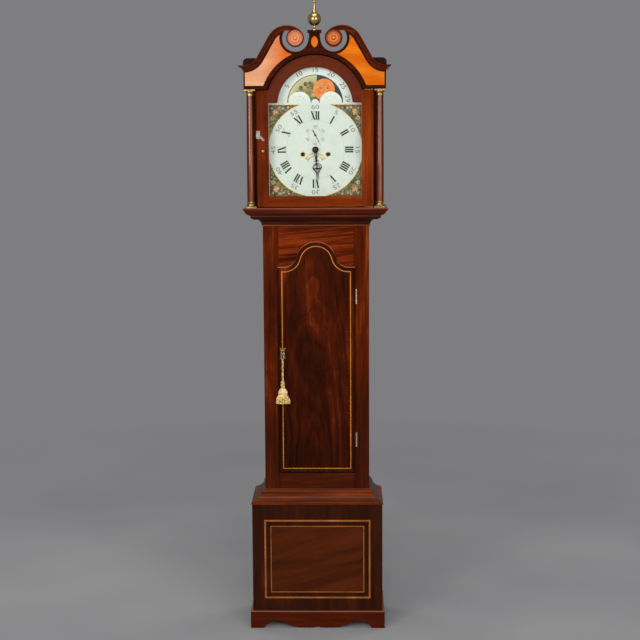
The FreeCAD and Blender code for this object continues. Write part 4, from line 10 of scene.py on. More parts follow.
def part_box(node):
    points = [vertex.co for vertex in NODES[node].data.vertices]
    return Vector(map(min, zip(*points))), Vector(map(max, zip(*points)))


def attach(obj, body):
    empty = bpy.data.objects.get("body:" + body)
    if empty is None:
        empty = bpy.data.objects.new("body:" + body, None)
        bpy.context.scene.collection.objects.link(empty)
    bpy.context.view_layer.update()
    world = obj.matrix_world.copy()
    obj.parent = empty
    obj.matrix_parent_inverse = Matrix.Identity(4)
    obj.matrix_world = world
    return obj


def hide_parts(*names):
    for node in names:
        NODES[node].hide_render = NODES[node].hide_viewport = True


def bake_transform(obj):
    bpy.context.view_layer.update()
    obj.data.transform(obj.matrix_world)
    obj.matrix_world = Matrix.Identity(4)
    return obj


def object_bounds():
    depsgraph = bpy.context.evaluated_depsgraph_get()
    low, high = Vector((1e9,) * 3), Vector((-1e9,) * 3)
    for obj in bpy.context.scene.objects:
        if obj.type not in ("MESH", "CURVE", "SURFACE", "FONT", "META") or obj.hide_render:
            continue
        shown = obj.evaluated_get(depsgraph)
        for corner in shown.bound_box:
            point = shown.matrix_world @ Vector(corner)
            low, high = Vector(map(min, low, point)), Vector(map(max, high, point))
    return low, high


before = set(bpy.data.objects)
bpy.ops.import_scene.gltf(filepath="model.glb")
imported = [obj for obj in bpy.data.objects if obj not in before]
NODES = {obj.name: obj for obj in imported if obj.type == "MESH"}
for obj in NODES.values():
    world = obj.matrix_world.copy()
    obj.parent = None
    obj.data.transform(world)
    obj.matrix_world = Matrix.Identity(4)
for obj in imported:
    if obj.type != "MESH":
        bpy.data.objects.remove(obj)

random.seed(7)

# Places read from the frame, in metres
CAD_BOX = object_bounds()
DIAL_LOW, DIAL_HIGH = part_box("dial_plate")
MOON_LOW, MOON_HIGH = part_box("moon_disc")
KEY_LOW, KEY_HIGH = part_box("trunk_door_key")
CORD_LOW, CORD_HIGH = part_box("tassel_cord")
TASSEL_LOW, TASSEL_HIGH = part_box("tassel")
ROSETTE_LOW, ROSETTE_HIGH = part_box("rosettes")
BAND_LOW, BAND_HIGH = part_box("base_stringing")
THROAT_LOW, THROAT_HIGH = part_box("throat_molding")
DOOR_LOW, DOOR_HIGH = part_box("trunk_door_panel")
DIAL_FACE = DIAL_LOW[1]
DIAL_Z = DIAL_LOW[2] + (DIAL_HIGH[0] - DIAL_LOW[0]) / 2
DIAL_CENTER = (0.0, DIAL_Z)
MOON_FACE = MOON_LOW[1]
ARCH_Z = (MOON_LOW[2] + MOON_HIGH[2]) / 2
ARCH_CENTER = (0.0, ARCH_Z)
ROSETTE_R = (ROSETTE_HIGH[2] - ROSETTE_LOW[2]) / 2
ROSETTE_X = ROSETTE_HIGH[0] - ROSETTE_R
ROSETTE_Z = ROSETTE_HIGH[2] - ROSETTE_R


# Materials

def srgb(red, green, blue):
    """Linear colour with alpha from display values of 0 to 255."""
    def linear(value):
        share = value / 255
        return share / 12.92 if share <= 0.04045 else ((share + 0.055) / 1.055) ** 2.4
    return (linear(red), linear(green), linear(blue), 1.0)


class Paint:
    """Short calls that build the nodes of one material."""

    def __init__(self, name, **settings):
        self.material = bpy.data.materials.new(name)
        self.material.use_nodes = True
        self.tree = self.material.node_tree
        self.surface = self.tree.nodes["Principled BSDF"]
        for socket, value in settings.items():
            self.set(socket, value)

    def set(self, socket, value):
        """Sets or links an input of the surface, named in lower case with underscores."""
        names = {key.name.lower().replace(" ", "_"): key for key in self.surface.inputs}
        self.join(names[socket], value)

    def join(self, socket, value):
        """Links a node's output, or writes a constant."""
        if isinstance(value, bpy.types.NodeSocket):
            self.tree.links.new(value, socket)
        else:
            socket.default_value = value

    def node(self, kind, inputs=None, **attributes):
        """Adds one node with its attributes and inputs."""
        made = self.tree.nodes.new("ShaderNode" + kind)
        for key, value in attributes.items():
            setattr(made, key, value)
        for key, value in (inputs or {}).items():
            self.join(made.inputs[key], value)
        return made

    def place(self):
        """Position in the row frame at rest."""
        return self.node("TexCoord").outputs["Object"]

    def point(self):
        """The three parts of the position."""
        return self.split(self.place())

    def facing(self):
        """The three parts of the direction that the surface faces."""
        return self.split(self.node("TexCoord").outputs["Normal"])

    def split(self, vector):
        """The three parts of a vector."""
        return self.node("SeparateXYZ", {"Vector": vector}).outputs

    def vector(self, x, y, z):
        """A vector from three values."""
        return self.node("CombineXYZ", {"X": x, "Y": y, "Z": z}).outputs[0]

    def noise(self, scale, detail, roughness, distortion=0.0, vector=None, shift=(0, 0, 0)):
        """Cloudy values from 0 to 1. A scale of three parts stretches them along each axis."""
        if vector is None:
            vector = self.place()
        if isinstance(scale, tuple):
            vector = self.node("Mapping", {"Vector": vector, "Scale": scale, "Location": shift}).outputs[0]
            scale = 1.0
        inputs = {"Vector": vector, "Scale": scale, "Detail": detail, "Roughness": roughness,
                  "Distortion": distortion}
        return self.node("TexNoise", inputs).outputs["Fac"]

    def ramp(self, factor, stops, colors):
        """Display colours, each at its stop."""
        made = self.node("ValToRGB", {"Fac": factor})
        band = made.color_ramp.elements
        while len(band) < len(stops):
            band.new(0.5)
        for element, stop, color in zip(band, stops, colors):
            element.position = stop
            element.color = srgb(*color)
        return made.outputs["Color"]

    def cells(self, scale, feature):
        """Distances in a pattern of cells."""
        inputs = {"Vector": self.place(), "Scale": scale}
        return self.node("TexVoronoi", inputs, feature=feature).outputs["Distance"]

    def shades(self, factor, low, high, least=0.0, most=1.0):
        """Value remapped from one range to another."""
        inputs = {"Value": factor, "From Min": low, "From Max": high, "To Min": least, "To Max": most}
        return self.node("MapRange", inputs).outputs["Result"]

    def math(self, operation, first, second=0.0, third=0.0):
        """One sum on values."""
        made = self.node("Math", operation=operation)
        for socket, value in zip(made.inputs, (first, second, third)):
            self.join(socket, value)
        return made.outputs[0]

    def times(self, first, second):
        """Product of two values."""
        return self.math("MULTIPLY", first, second)

    def added(self, value, share, rest):
        """A share of one value added to the rest."""
        return self.math("MULTIPLY_ADD", value, share, rest)

    def minus(self, first, second):
        """Difference of two values."""
        return self.math("SUBTRACT", first, second)

    def between(self, value, low, high):
        """One between two limits, else nothing."""
        return self.times(self.math("GREATER_THAN", value, low), self.math("LESS_THAN", value, high))

    def distance(self, first, second):
        """Distance of a point from the origin."""
        return self.math("SQRT", self.math("ADD", self.times(first, first), self.times(second, second)))

    def mix(self, factor, first, second):
        """Blend of two colours or vectors."""
        made = self.node("Mix", data_type="RGBA", blend_type="MIX")
        for index, value in ((0, factor), (6, first), (7, second)):
            self.join(made.inputs[index], value)
        return made.outputs[2]

    def rough(self, factor, smooth, dull, low=0.2, high=0.8):
        """Roughness from smooth to dull over a range of a cloud."""
        self.set("roughness", self.shades(factor, low, high, smooth, dull))

    def bump(self, height, strength, distance):
        """Surface normal from a height."""
        made = self.node("Bump", {"Height": height, "Strength": strength, "Distance": distance})
        self.set("normal", made.outputs[0])

    def finished(self, color, texture, smooth, dull, relief, depth):
        """The material with its colour, and with roughness and relief from one texture."""
        self.set("base_color", color)
        self.rough(texture, smooth, dull)
        self.bump(texture, relief, depth)
        return self.material


# Wood: changes of its figure, streaks, fibres and pores in a metre across, across and along the grain
FIGURE_SCALE = (7, 7, 1.3)
STREAK_SCALE = (75, 75, 2.6)
FIBRE_SCALE = (420, 420, 9)
PORE_SCALE = (1500, 1500, 42)
WEAR_SCALE = 38.0
STREAK_SWIRL = 0.6
FIBRE_SHARE = 0.30
TONE_MIDDLE = 0.35
GLOSS_RANGE = 0.2
PORE_RANGE = (0.56, 0.68)
PORE_SHARE = 0.45
PORE_COLOR = (24, 7, 2)
# Colour of the darkening by height
DARKENING_COLOR = (36, 16, 5)
# Colour of the painted shade on faces that look sideways or down, and of the painted shadow in a door's lip
SHADE_COLOR = (18, 8, 5)
# Painted highlight on faces that look up: its colour, and the range of upward facing that it covers
TOP_HIGHLIGHT_COLOR = (184, 124, 90)
TOP_HIGHLIGHT_RANGE = (0.20, 0.75)
# Range of sideways or downward facing that gets painted shade
SHADE_RANGE = (0.15, 0.65)
LIP_SHADOW_FADE = 0.7
TINT_EDGE = 0.004

# Arched rings of a board cut near the heart: their wander, rings in a metre, shares in the streaks
CROWN_SCALE = (6, 6, 3)
CROWN_SIDE = 0.05
CROWN_DEPTH = 0.10
CROWN_RINGS = 85.0
CROWN_CLIMB = 1.6
CROWN_SHARE = 0.85
CROWN_STREAKS = 0.35
CROWN_LOSS = 0.10


def cross_field(paint, cross):
    """Mask of the part with its grain across: half width, lowest and highest."""
    half, low, high = cross
    x, _, z = paint.point()
    inside = paint.math("LESS_THAN", paint.math("ABSOLUTE", x), half)
    return paint.times(inside, paint.between(z, low, high))


def grain_space(paint, grain, cross=None, lean=0.0):
    """Position with the grain along its last axis. In the cross field it runs across, climbing by lean."""
    x, y, z = paint.point()
    along = paint.vector(z, y, x) if grain == "x" else paint.vector(x, y, z)
    if cross is None:
        return along
    rise = paint.added(x, -lean, z)
    return paint.mix(cross_field(paint, cross), along, paint.vector(rise, y, x))


def crown_figure(paint, crown):
    """Stacked arches: rings of the tree where the cut sinks below the heart, by a slope from a foot up."""
    middle, foot, slope = crown
    x, _, z = paint.point()
    wander = paint.noise(CROWN_SCALE, 3.0, 0.5)
    side = paint.minus(x, paint.added(wander, CROWN_SIDE, middle - CROWN_SIDE / 2))
    depth = paint.added(paint.minus(z, foot), slope, paint.times(wander, CROWN_DEPTH))
    rings = paint.times(paint.distance(side, depth), CROWN_RINGS)
    return paint.noise(1.0, 4.0, 0.6, vector=paint.vector(rings, 0.0, paint.times(z, CROWN_CLIMB)))


def tinted(paint, color, cross, tint, slow, streak):
    """Another colour in the cross field above a height, by the figure."""
    level, streaky, start, end, least, most, other = tint
    figure = paint.added(streak, streaky, paint.times(slow, 1.0 - streaky))
    field = paint.times(cross_field(paint, cross), paint.shades(paint.point()[2], level, level + TINT_EDGE))
    return paint.mix(paint.times(field, paint.shades(figure, start, end, least, most)), color, srgb(*other))


def soiled(paint, color, height_darkening):
    """Darker colour by height: the height where it is darkest, the height where it ends, its share."""
    darkest, end, share = height_darkening
    return paint.mix(paint.shades(paint.point()[2], darkest, end, share, 0.0), color, srgb(*DARKENING_COLOR))


def worn_edges(paint, color, share):
    """Painted highlight: faces that look up are made paler."""
    upward = paint.facing()[2]
    return paint.mix(paint.shades(upward, *TOP_HIGHLIGHT_RANGE, 0.0, share), color, srgb(*TOP_HIGHLIGHT_COLOR))


def dark_sides(paint, color, share):
    """Painted shade: edges and returns that look sideways or down are made darker."""
    x, _, z = paint.facing()
    turned_away = paint.math("MAXIMUM", paint.math("ABSOLUTE", x), paint.times(z, -1.0))
    return paint.mix(paint.shades(turned_away, *SHADE_RANGE, 0.0, share), color, srgb(*SHADE_COLOR))


def dark_lip(paint, color, lip):
    """Painted shadow in the moulded lip at the left, right and foot of a door."""
    middle, half, foot, width, share = lip
    x, _, z = paint.point()
    side = paint.math("ABSOLUTE", paint.minus(x, middle))
    near_side = paint.shades(side, half - width, half - width * LIP_SHADOW_FADE)
    near_foot = paint.shades(z, foot + width, foot + width * LIP_SHADOW_FADE)
    edge = paint.math("MAXIMUM", near_side, near_foot)
    return paint.mix(paint.times(edge, share), color, srgb(*SHADE_COLOR))


def wood(name, colors, grain="z", cross=None, lean=0.0, crown=None, tint=None, height_darkening=None, top_highlight=0.0, sides=0.0,
         lip=None, figure=1.0, swirl=0.8, streaks=0.8, gloss=0.30, shine=0.03, coat=0.08, shift=(0, 0, 0)):
    """Polished wood: slow figure, streaks, fibres and dark pores, with optional darkening by height, painted
    shade, painted shadow and a painted highlight.
    """
    paint = Paint(name, coat_weight=coat, coat_roughness=0.06, specular_ior_level=shine)
    space = grain_space(paint, grain, cross, lean)
    slow = paint.noise(FIGURE_SCALE, 5.0, 0.6, swirl, space, shift)
    streak = paint.noise(STREAK_SCALE, 4.0, 0.65, swirl * STREAK_SWIRL, space, shift)
    if crown is not None:
        streak = paint.added(streak, CROWN_STREAKS, paint.times(crown_figure(paint, crown), CROWN_SHARE))
        streak = paint.minus(streak, CROWN_LOSS)
    fibre = paint.noise(FIBRE_SCALE, 4.0, 0.65, 0.0, space, shift)
    broad = paint.added(paint.minus(slow, 0.5), figure, TONE_MIDDLE - streaks / 2)
    tone = paint.added(streak, streaks, paint.added(fibre, FIBRE_SHARE, broad))
    color = paint.ramp(tone, WOOD_STOPS, colors)
    if tint is not None:
        color = tinted(paint, color, cross, tint, slow, streak)
    # Darkening by height, painted shade on faces that look sideways or down, painted shadow in a door's lip,
    # painted highlight on faces that look up
    for mark, laid in ((height_darkening, soiled), (sides, dark_sides), (lip, dark_lip), (top_highlight, worn_edges)):
        if mark:
            color = laid(paint, color, mark)
    pores = paint.noise(PORE_SCALE, 2.0, 0.5, 0.0, space, shift)
    filled = paint.shades(pores, *PORE_RANGE, 0.0, PORE_SHARE)
    paint.set("base_color", paint.mix(filled, color, srgb(*PORE_COLOR)))
    wear = paint.noise(WEAR_SCALE, 4.0, 0.6)
    paint.rough(paint.added(fibre, 0.5, wear), gloss, gloss + GLOSS_RANGE, 0.4, 1.1)
    paint.bump(paint.added(pores, -0.6, fibre), 0.10, 0.0003)
    return paint.material


WOOD_STOPS = (0.15, 0.40, 0.60, 0.85)
MAHOGANY = ((32, 7, 1), (64, 18, 1), (84, 26, 2), (136, 56, 10))
MAHOGANY_RAIL = ((44, 12, 2), (78, 26, 4), (104, 38, 7), (156, 72, 20))
MAHOGANY_DARK = ((16, 3, 1), (44, 11, 1), (66, 19, 2), (118, 48, 10))
MAHOGANY_BASE = ((26, 9, 3), (40, 15, 5), (54, 21, 7), (86, 38, 13))
MAHOGANY_GOLD = ((56, 15, 1), (90, 30, 2), (112, 40, 3), (148, 70, 15))
# The columns are paler, so that between their painted side shade their middles show as a painted highlight
MAHOGANY_COLUMN_LIT = ((72, 28, 8), (112, 50, 20), (136, 66, 30), (166, 94, 50))
OAK = ((54, 36, 22), (86, 60, 38), (118, 88, 58), (140, 108, 74))

# Parts of the fronts with their grain across: half width, lowest and highest
TOP_Z = CAD_BOX[1][2]
BASE_LINE_INSET = 0.0235
BASE_FIELD = (BAND_HIGH[0] - BASE_LINE_INSET, BAND_LOW[2] + BASE_LINE_INSET, BAND_HIGH[2] - BASE_LINE_INSET)
RAIL_FIELD = (0.131, 0.0, TOP_Z)
HOOD_FIELD = (0.160, 0.0, TOP_Z)

# Lowest fillet of the throat moulding, which gets a painted highlight: half width, lowest and highest
THROAT_HIGHLIGHT_FIELD = (THROAT_HIGH[0], THROAT_LOW[2] - 0.001, THROAT_LOW[2] + 0.0045)

# Tints: lowest height, share of the streaks in the figure, figure where the tint is least and most, least and
# most of the tint, colour
RAIL_TINT = (1.0, 0.8, 0.46, 0.60, 0.0, 0.85, (126, 44, 6))
BASE_TINT = (0.0, 0.15, 0.38, 0.64, 0.22, 0.76, (88, 36, 8))
# The throat's tint is a painted highlight on its lowest fillet
THROAT_HIGHLIGHT = (0.0, 0.5, 0.38, 0.64, 0.3, 0.6, (160, 92, 56))
ARCH_TINT = (ARCH_Z, 0.6, 0.38, 0.64, 0.95, 0.7, (88, 36, 20))

# Darkening by height: the height where it is darkest, the height where it ends, share. The trunk is darker
# towards the bottom and the roof towards the top.
ROOF_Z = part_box("hood_carcass")[1][2] - 0.012
ROOF_DARKENING = (ROOF_Z - 0.03, ROOF_Z - 0.08, 0.92)
TRUNK_DARKENING = (0.60, 0.95, 0.45)

# Trunk door: middle, foot and slope of its arched figure; middle, half width, foot, width and share of the
# painted shadow in its lip
DOOR_CROWN = (-0.015, 0.86, 0.16)
DOOR_X = (DOOR_LOW[0] + DOOR_HIGH[0]) / 2
DOOR_LIP_SHADOW = (DOOR_X, (DOOR_HIGH[0] - DOOR_LOW[0]) / 2, DOOR_LOW[2], 0.0085, 0.55)

# Golden veneer, which is pale up to the first of two places from left to right and deep from the second
SATIN_FIGURE = (16, 16, 5)
SATIN_FIBRE = (700, 700, 20)
SATIN_SHARE = 0.3
SATIN_STOPS = (0.25, 0.5, 0.75)
SATIN_DEEP = ((160, 68, 3), (192, 90, 5), (216, 126, 24))
SATIN_PALE = ((185, 118, 80), (205, 150, 115), (218, 178, 144))
SATIN_FADE = (-0.185, -0.095)


def satinwood(name):
    """Golden veneer. The left panel catches the light along its grain and looks paler."""
    paint = Paint(name, coat_weight=0.04, coat_roughness=0.1, specular_ior_level=0.05)
    space = grain_space(paint, "x")
    slow = paint.noise(SATIN_FIGURE, 4.0, 0.55, 0.6, space)
    fibre = paint.noise(SATIN_FIBRE, 3.0, 0.6, 0.0, space)
    tone = paint.added(fibre, SATIN_SHARE, paint.times(slow, 1.0 - SATIN_SHARE))
    deep = paint.ramp(tone, SATIN_STOPS, SATIN_DEEP)
    pale = paint.ramp(tone, SATIN_STOPS, SATIN_PALE)
    x = paint.point()[0]
    color = paint.mix(paint.shades(x, *SATIN_FADE, 1.0, 0.0), deep, pale)
    return paint.finished(color, fibre, 0.3, 0.45, 0.08, 0.0003)


# Rings of a rosette from its middle to its rim, and the colour of the painted sheen that makes the left one
# paler
RING_STOPS = (0.10, 0.20, 0.30, 0.40, 0.56, 0.64, 0.72, 0.97)
RING_COLORS = ((224, 150, 78), (196, 96, 40), (112, 40, 14), (198, 112, 60), (206, 124, 70), (120, 46, 18),
               (192, 104, 56), (112, 42, 16))
ROSETTE_SHEEN_COLOR = (220, 150, 120)
SHEEN_SHARE = 0.34


def rosette_wood(name):
    """Turned rosettes with rings of light and dark wood, the left one paler under a painted sheen."""
    paint = Paint(name, coat_weight=0.06, coat_roughness=0.1, specular_ior_level=0.08)
    x, _, z = paint.point()
    across = paint.minus(paint.math("ABSOLUTE", x), ROSETTE_X)
    radius = paint.distance(across, paint.minus(z, ROSETTE_Z))
    cloud = paint.noise(240.0, 3.0, 0.6)
    share = paint.added(cloud, 0.10, paint.shades(radius, 0.0, ROSETTE_R))
    color = paint.ramp(share, RING_STOPS, RING_COLORS)
    left = paint.math("LESS_THAN", x, 0.0)
    color = paint.mix(paint.times(left, SHEEN_SHARE), color, srgb(*ROSETTE_SHEEN_COLOR))
    return paint.finished(color, cloud, 0.3, 0.45, 0.06, 0.0003)


BOXWOOD_STOPS = (0.25, 0.55, 0.8)
BOXWOOD_BAND = ((100, 50, 14), (150, 84, 30), (180, 114, 50))
BOXWOOD_LINE = ((130, 66, 16), (186, 110, 34), (206, 138, 58))


def boxwood(name, colors):
    """Line inlay, darkened by old polish in places."""
    paint = Paint(name, coat_weight=0.1, coat_roughness=0.2, specular_ior_level=0.3)
    fibre = paint.noise(300.0, 3.0, 0.6)
    stain = paint.noise(14.0, 4.0, 0.6)
    color = paint.ramp(paint.added(stain, 0.8, paint.times(fibre, 0.25)), BOXWOOD_STOPS, colors)
    return paint.finished(color, fibre, 0.32, 0.5, 0.05, 0.0002)


METAL_STOPS = (0.3, 0.5, 0.75)
BRASS = ((140, 112, 62), (196, 168, 106), (230, 210, 154))
BRASS_WORN = ((110, 84, 44), (182, 150, 90), (236, 214, 156))
BRASS_OLD = ((58, 42, 20), (86, 64, 32), (116, 90, 50))
SILVERED = ((108, 102, 90), (156, 148, 134), (206, 200, 186))
HINGE = ((166, 136, 116), (224, 192, 170), (246, 228, 212))
BLUED_STOPS = (0.3, 0.6, 0.8)
BLUED = ((24, 22, 26), (44, 42, 50), (70, 66, 74))
STEEL_STOPS = (0.3, 0.55, 0.8)
STEEL = ((104, 102, 98), (150, 148, 144), (182, 180, 176))
SCRATCH_SCALE = (900, 900, 60)


def metal(name, colors, smooth, dull, scale=60.0, stops=METAL_STOPS):
    """Old polished metal with tarnish clouds and fine scratches."""
    paint = Paint(name, metallic=1.0)
    cloud = paint.noise(scale, 5.0, 0.62, 0.4)
    scratch = paint.noise(SCRATCH_SCALE, 2.0, 0.5)
    paint.set("base_color", paint.ramp(cloud, stops, colors))
    paint.rough(paint.added(scratch, 0.4, cloud), smooth, dull, 0.3, 1.1)
    paint.bump(scratch, 0.05, 0.0002)
    return paint.material


BRUSH_SCALE = (180, 180, 620)
CRACKLE_SCALE = 160.0
CRACKLE_WIDTH = 0.02
CRACKLE_DEPTH = 0.35
CRACKLE_SHARE = 0.3
CRACKLE_COLOR = (70, 66, 50)
# Painted light that makes the dial paler up from the arch's centre: colour, share and the heights over which
# it comes in
ARCH_LIGHT_COLOR = (240, 244, 236)
ARCH_LIGHT_SHARE = 0.55
ARCH_LIGHT_RANGE = (ARCH_Z - 0.01, ARCH_Z + 0.05)


def enamel(name, stops, scale, colors, arch_light=0.0):
    """Oil paint: clouds of tone, brush marks and fine crackle. The arch may get painted light that makes it
    paler.
    """
    paint = Paint(name, coat_weight=0.05, coat_roughness=0.2, specular_ior_level=0.3)
    cloud = paint.noise(scale, 4.0, 0.55)
    brush = paint.noise(BRUSH_SCALE, 3.0, 0.6)
    edge = paint.cells(CRACKLE_SCALE, "DISTANCE_TO_EDGE")
    line = paint.shades(edge, 0.0, CRACKLE_WIDTH, CRACKLE_DEPTH, 0.0)
    color = paint.ramp(paint.added(brush, 0.3, paint.times(cloud, 0.75)), stops, colors)
    if arch_light:
        color = paint.mix(paint.shades(paint.point()[2], *ARCH_LIGHT_RANGE, 0.0, arch_light), color, srgb(*ARCH_LIGHT_COLOR))
    paint.set("base_color", paint.mix(paint.times(line, CRACKLE_SHARE), color, srgb(*CRACKLE_COLOR)))
    paint.rough(brush, 0.28, 0.44)
    paint.bump(paint.minus(brush, line), 0.05, 0.0002)
    return paint.material


def clear_glass(name):
    """Old window glass with a faint ripple."""
    paint = Paint(name, roughness=0.02, ior=1.45, transmission_weight=1.0, alpha=0.05)
    ripple = paint.noise(7.0, 2.0, 0.4)
    paint.set("base_color", paint.ramp(ripple, (0.3, 0.7), ((236, 246, 240), (250, 254, 252))))
    paint.bump(ripple, 0.02, 0.002)
    return paint.material


SILK_STOPS = (0.38, 0.5, 0.60, 0.7)
SILK = ((92, 62, 14), (174, 134, 54), (230, 204, 130), (250, 236, 190))
SILK_PALE = (238, 208, 178)
SILK_PALE_SHARE = 0.4
GUT = ((120, 88, 44), (170, 132, 76), (200, 166, 108))
THREAD_SCALE = (900, 900, 120)

# Heights at which the tassel's skirt and the ruff above it begin
TASSEL_TALL = TASSEL_HIGH[2] - TASSEL_LOW[2]
SKIRT_Z = TASSEL_LOW[2] + TASSEL_TALL * 0.40
RUFF_Z = TASSEL_LOW[2] + TASSEL_TALL * 0.68


def silk(name, stops, colors, scale=70.0, pale=None):
    """Twisted silk with a soft sheen and folds of the given scale, paler between two heights."""
    paint = Paint(name, sheen_weight=0.3)
    thread = paint.noise(THREAD_SCALE, 3.0, 0.6)
    cloud = paint.noise(scale, 3.0, 0.5)
    color = paint.ramp(paint.added(cloud, 0.6, paint.times(thread, 0.45)), stops, colors)
    if pale is not None:
        inside = paint.between(paint.point()[2], *pale)
        color = paint.mix(paint.times(inside, SILK_PALE_SHARE), color, srgb(*SILK_PALE))
    return paint.finished(color, thread, 0.5, 0.75, 0.3, 0.0004)


# Moon disc: angle at which night begins, size and colour of the stars, reach of the land's haze
NIGHT_START = radians(4)
NIGHT_COLORS = ((30, 36, 46), (52, 60, 70))
STAR_SCALE = 95.0
STAR_RANGE = (0.05, 0.09)
STAR_COLOR = (214, 190, 120)
LAND_RANGE = (0.03, 0.11)
LAND_STOPS = (0.0, 0.35, 0.6, 0.9)
LAND_COLORS = ((92, 98, 64), (122, 124, 82), (164, 156, 102), (190, 188, 148))


def moon_sky(name):
    """Night sky with stars in two quarters of the disc and evening land in the other two."""
    paint = Paint(name, coat_weight=0.1, coat_roughness=0.25)
    x, _, z = paint.point()
    rise = paint.minus(z, ARCH_Z)
    turn = paint.minus(paint.math("ARCTAN2", x, rise), NIGHT_START)
    night = paint.math("GREATER_THAN", paint.math("SINE", paint.times(turn, 2.0)), 0.0)
    star = paint.cells(STAR_SCALE, "F1")
    cloud = paint.noise(42.0, 4.0, 0.6)
    sky = paint.ramp(cloud, (0.3, 0.7), NIGHT_COLORS)
    sky = paint.mix(paint.shades(star, *STAR_RANGE, 0.9, 0.0), sky, srgb(*STAR_COLOR))
    haze = paint.added(cloud, 0.02, paint.distance(x, rise))
    land = paint.ramp(paint.shades(haze, *LAND_RANGE), LAND_STOPS, LAND_COLORS)
    return paint.finished(paint.mix(night, land, sky), cloud, 0.3, 0.45, 0.05, 0.0002)


# Paints of the pieces that the scene adds: name, stops of the colours, clouds in a metre, colours
ENDS = (0.2, 0.8)
EVEN = (0.2, 0.5, 0.8)
LATE = (0.2, 0.6, 0.8)
CRISP = (0.40, 0.52, 0.64)
PAINTS = {
    "ink": ("dial_ink", ENDS, 120.0, ((26, 28, 26), (52, 54, 48))),
    "ink_thin": ("dial_ink_thin", ENDS, 120.0, ((84, 90, 84), (116, 122, 114))),
    "ink_pale": ("dial_ink_pale", ENDS, 120.0, ((122, 132, 124), (148, 158, 148))),
    "gold": ("dial_gold", CRISP, 150.0, ((138, 108, 52), (198, 166, 94), (234, 212, 152))),
    "ground": ("corner_ground", CRISP, 110.0, ((54, 48, 24), (96, 85, 48), (138, 122, 78))),
    "leaf_pale": ("corner_leaf_pale", EVEN, 220.0, ((84, 98, 72), (120, 130, 92), (156, 160, 122))),
    "heart": ("corner_heart", EVEN, 260.0, ((122, 66, 30), (168, 110, 48), (206, 160, 84))),
    "leaf": ("corner_leaf", CRISP, 220.0, ((34, 48, 34), (64, 82, 54), (112, 124, 80))),
    "petal": ("corner_petal", CRISP, 220.0, ((104, 50, 26), (176, 106, 60), (224, 186, 138))),
    "petal_pale": ("corner_pale", CRISP, 220.0, ((118, 98, 64), (180, 162, 122), (220, 208, 180))),
    "petal_blue": ("corner_blue", LATE, 260.0, ((48, 66, 88), (84, 104, 122), (136, 152, 162))),
    "moon": ("moon_skin", EVEN, 60.0, ((188, 98, 40), (216, 130, 62), (230, 158, 92))),
    "cheek": ("moon_cheek", ENDS, 120.0, ((212, 84, 46), (228, 112, 66))),
    "hill": ("land_hill", CRISP, 70.0, ((98, 96, 66), (136, 128, 84), (186, 164, 92))),
    "tree": ("land_tree", CRISP, 200.0, ((60, 54, 36), (94, 84, 58), (128, 118, 82))),
}
DIAL = ((184, 196, 184), (194, 206, 194), (202, 212, 201))
MATERIAL = {key: enamel(*recipe) for key, recipe in PAINTS.items()}
MATERIAL["silk"] = silk("tassel_silk", SILK_STOPS, SILK, 130.0, (SKIRT_Z, RUFF_Z))


def dress(nodes, material):
    """Gives nodes of the frame their material."""
    for name in nodes.split():
        mesh = NODES[name].data
        mesh.materials.clear()
        mesh.materials.append(material)


def dress_case():
    """Woods of the base, trunk and doors."""
    dress("backboard seatboard", wood("oak_back", OAK, gloss=0.5))
    dress("base_stringing", boxwood("boxwood_band", BOXWOOD_BAND))
    dress("trunk_door_stringing", boxwood("boxwood_line", BOXWOOD_LINE))
    dress("trunk_sides", wood("mahogany_side", MAHOGANY, shift=(7, 2, 4)))
    dress("trunk_front_frame", wood(
        "mahogany_trunk", MAHOGANY, cross=RAIL_FIELD, tint=RAIL_TINT, height_darkening=TRUNK_DARKENING, lean=0.10, figure=1.3,
        swirl=1.6, shift=(0.6, 0.2, 0.9)))
    dress("trunk_door_panel", wood(
        "mahogany_door", MAHOGANY_DARK, crown=DOOR_CROWN, top_highlight=0.9, sides=0.85, lip=DOOR_LIP_SHADOW, figure=1.2,
        swirl=1.4, shift=(3.1, 0.4, 1.3)))
    dress("base_carcass", wood(
        "mahogany_base", MAHOGANY_BASE, cross=BASE_FIELD, lean=0.35, tint=BASE_TINT, figure=0.9, swirl=2.0,
        streaks=0.35, shift=(1.4, 5.0, 2.3)))
    dress("base_cap_molding", wood(
        "mahogany_cap", MAHOGANY_RAIL, grain="x", top_highlight=0.06, sides=0.95, figure=1.4, gloss=0.2, coat=0.14,
        shift=(2.6, 1.4, 0.5)))
    dress("throat_molding", wood(
        "mahogany_throat", MAHOGANY_DARK, grain="x", cross=THROAT_HIGHLIGHT_FIELD, tint=THROAT_HIGHLIGHT, sides=0.5,
        shine=0.06, coat=0.2, shift=(6.0, 1.0, 0.5)))
    dress("bracket_skirt", wood(
        "mahogany_rail_dark", MAHOGANY, grain="x", top_highlight=0.4, sides=0.6, coat=0.15, shift=(5.0, 1.0, 0.5)))


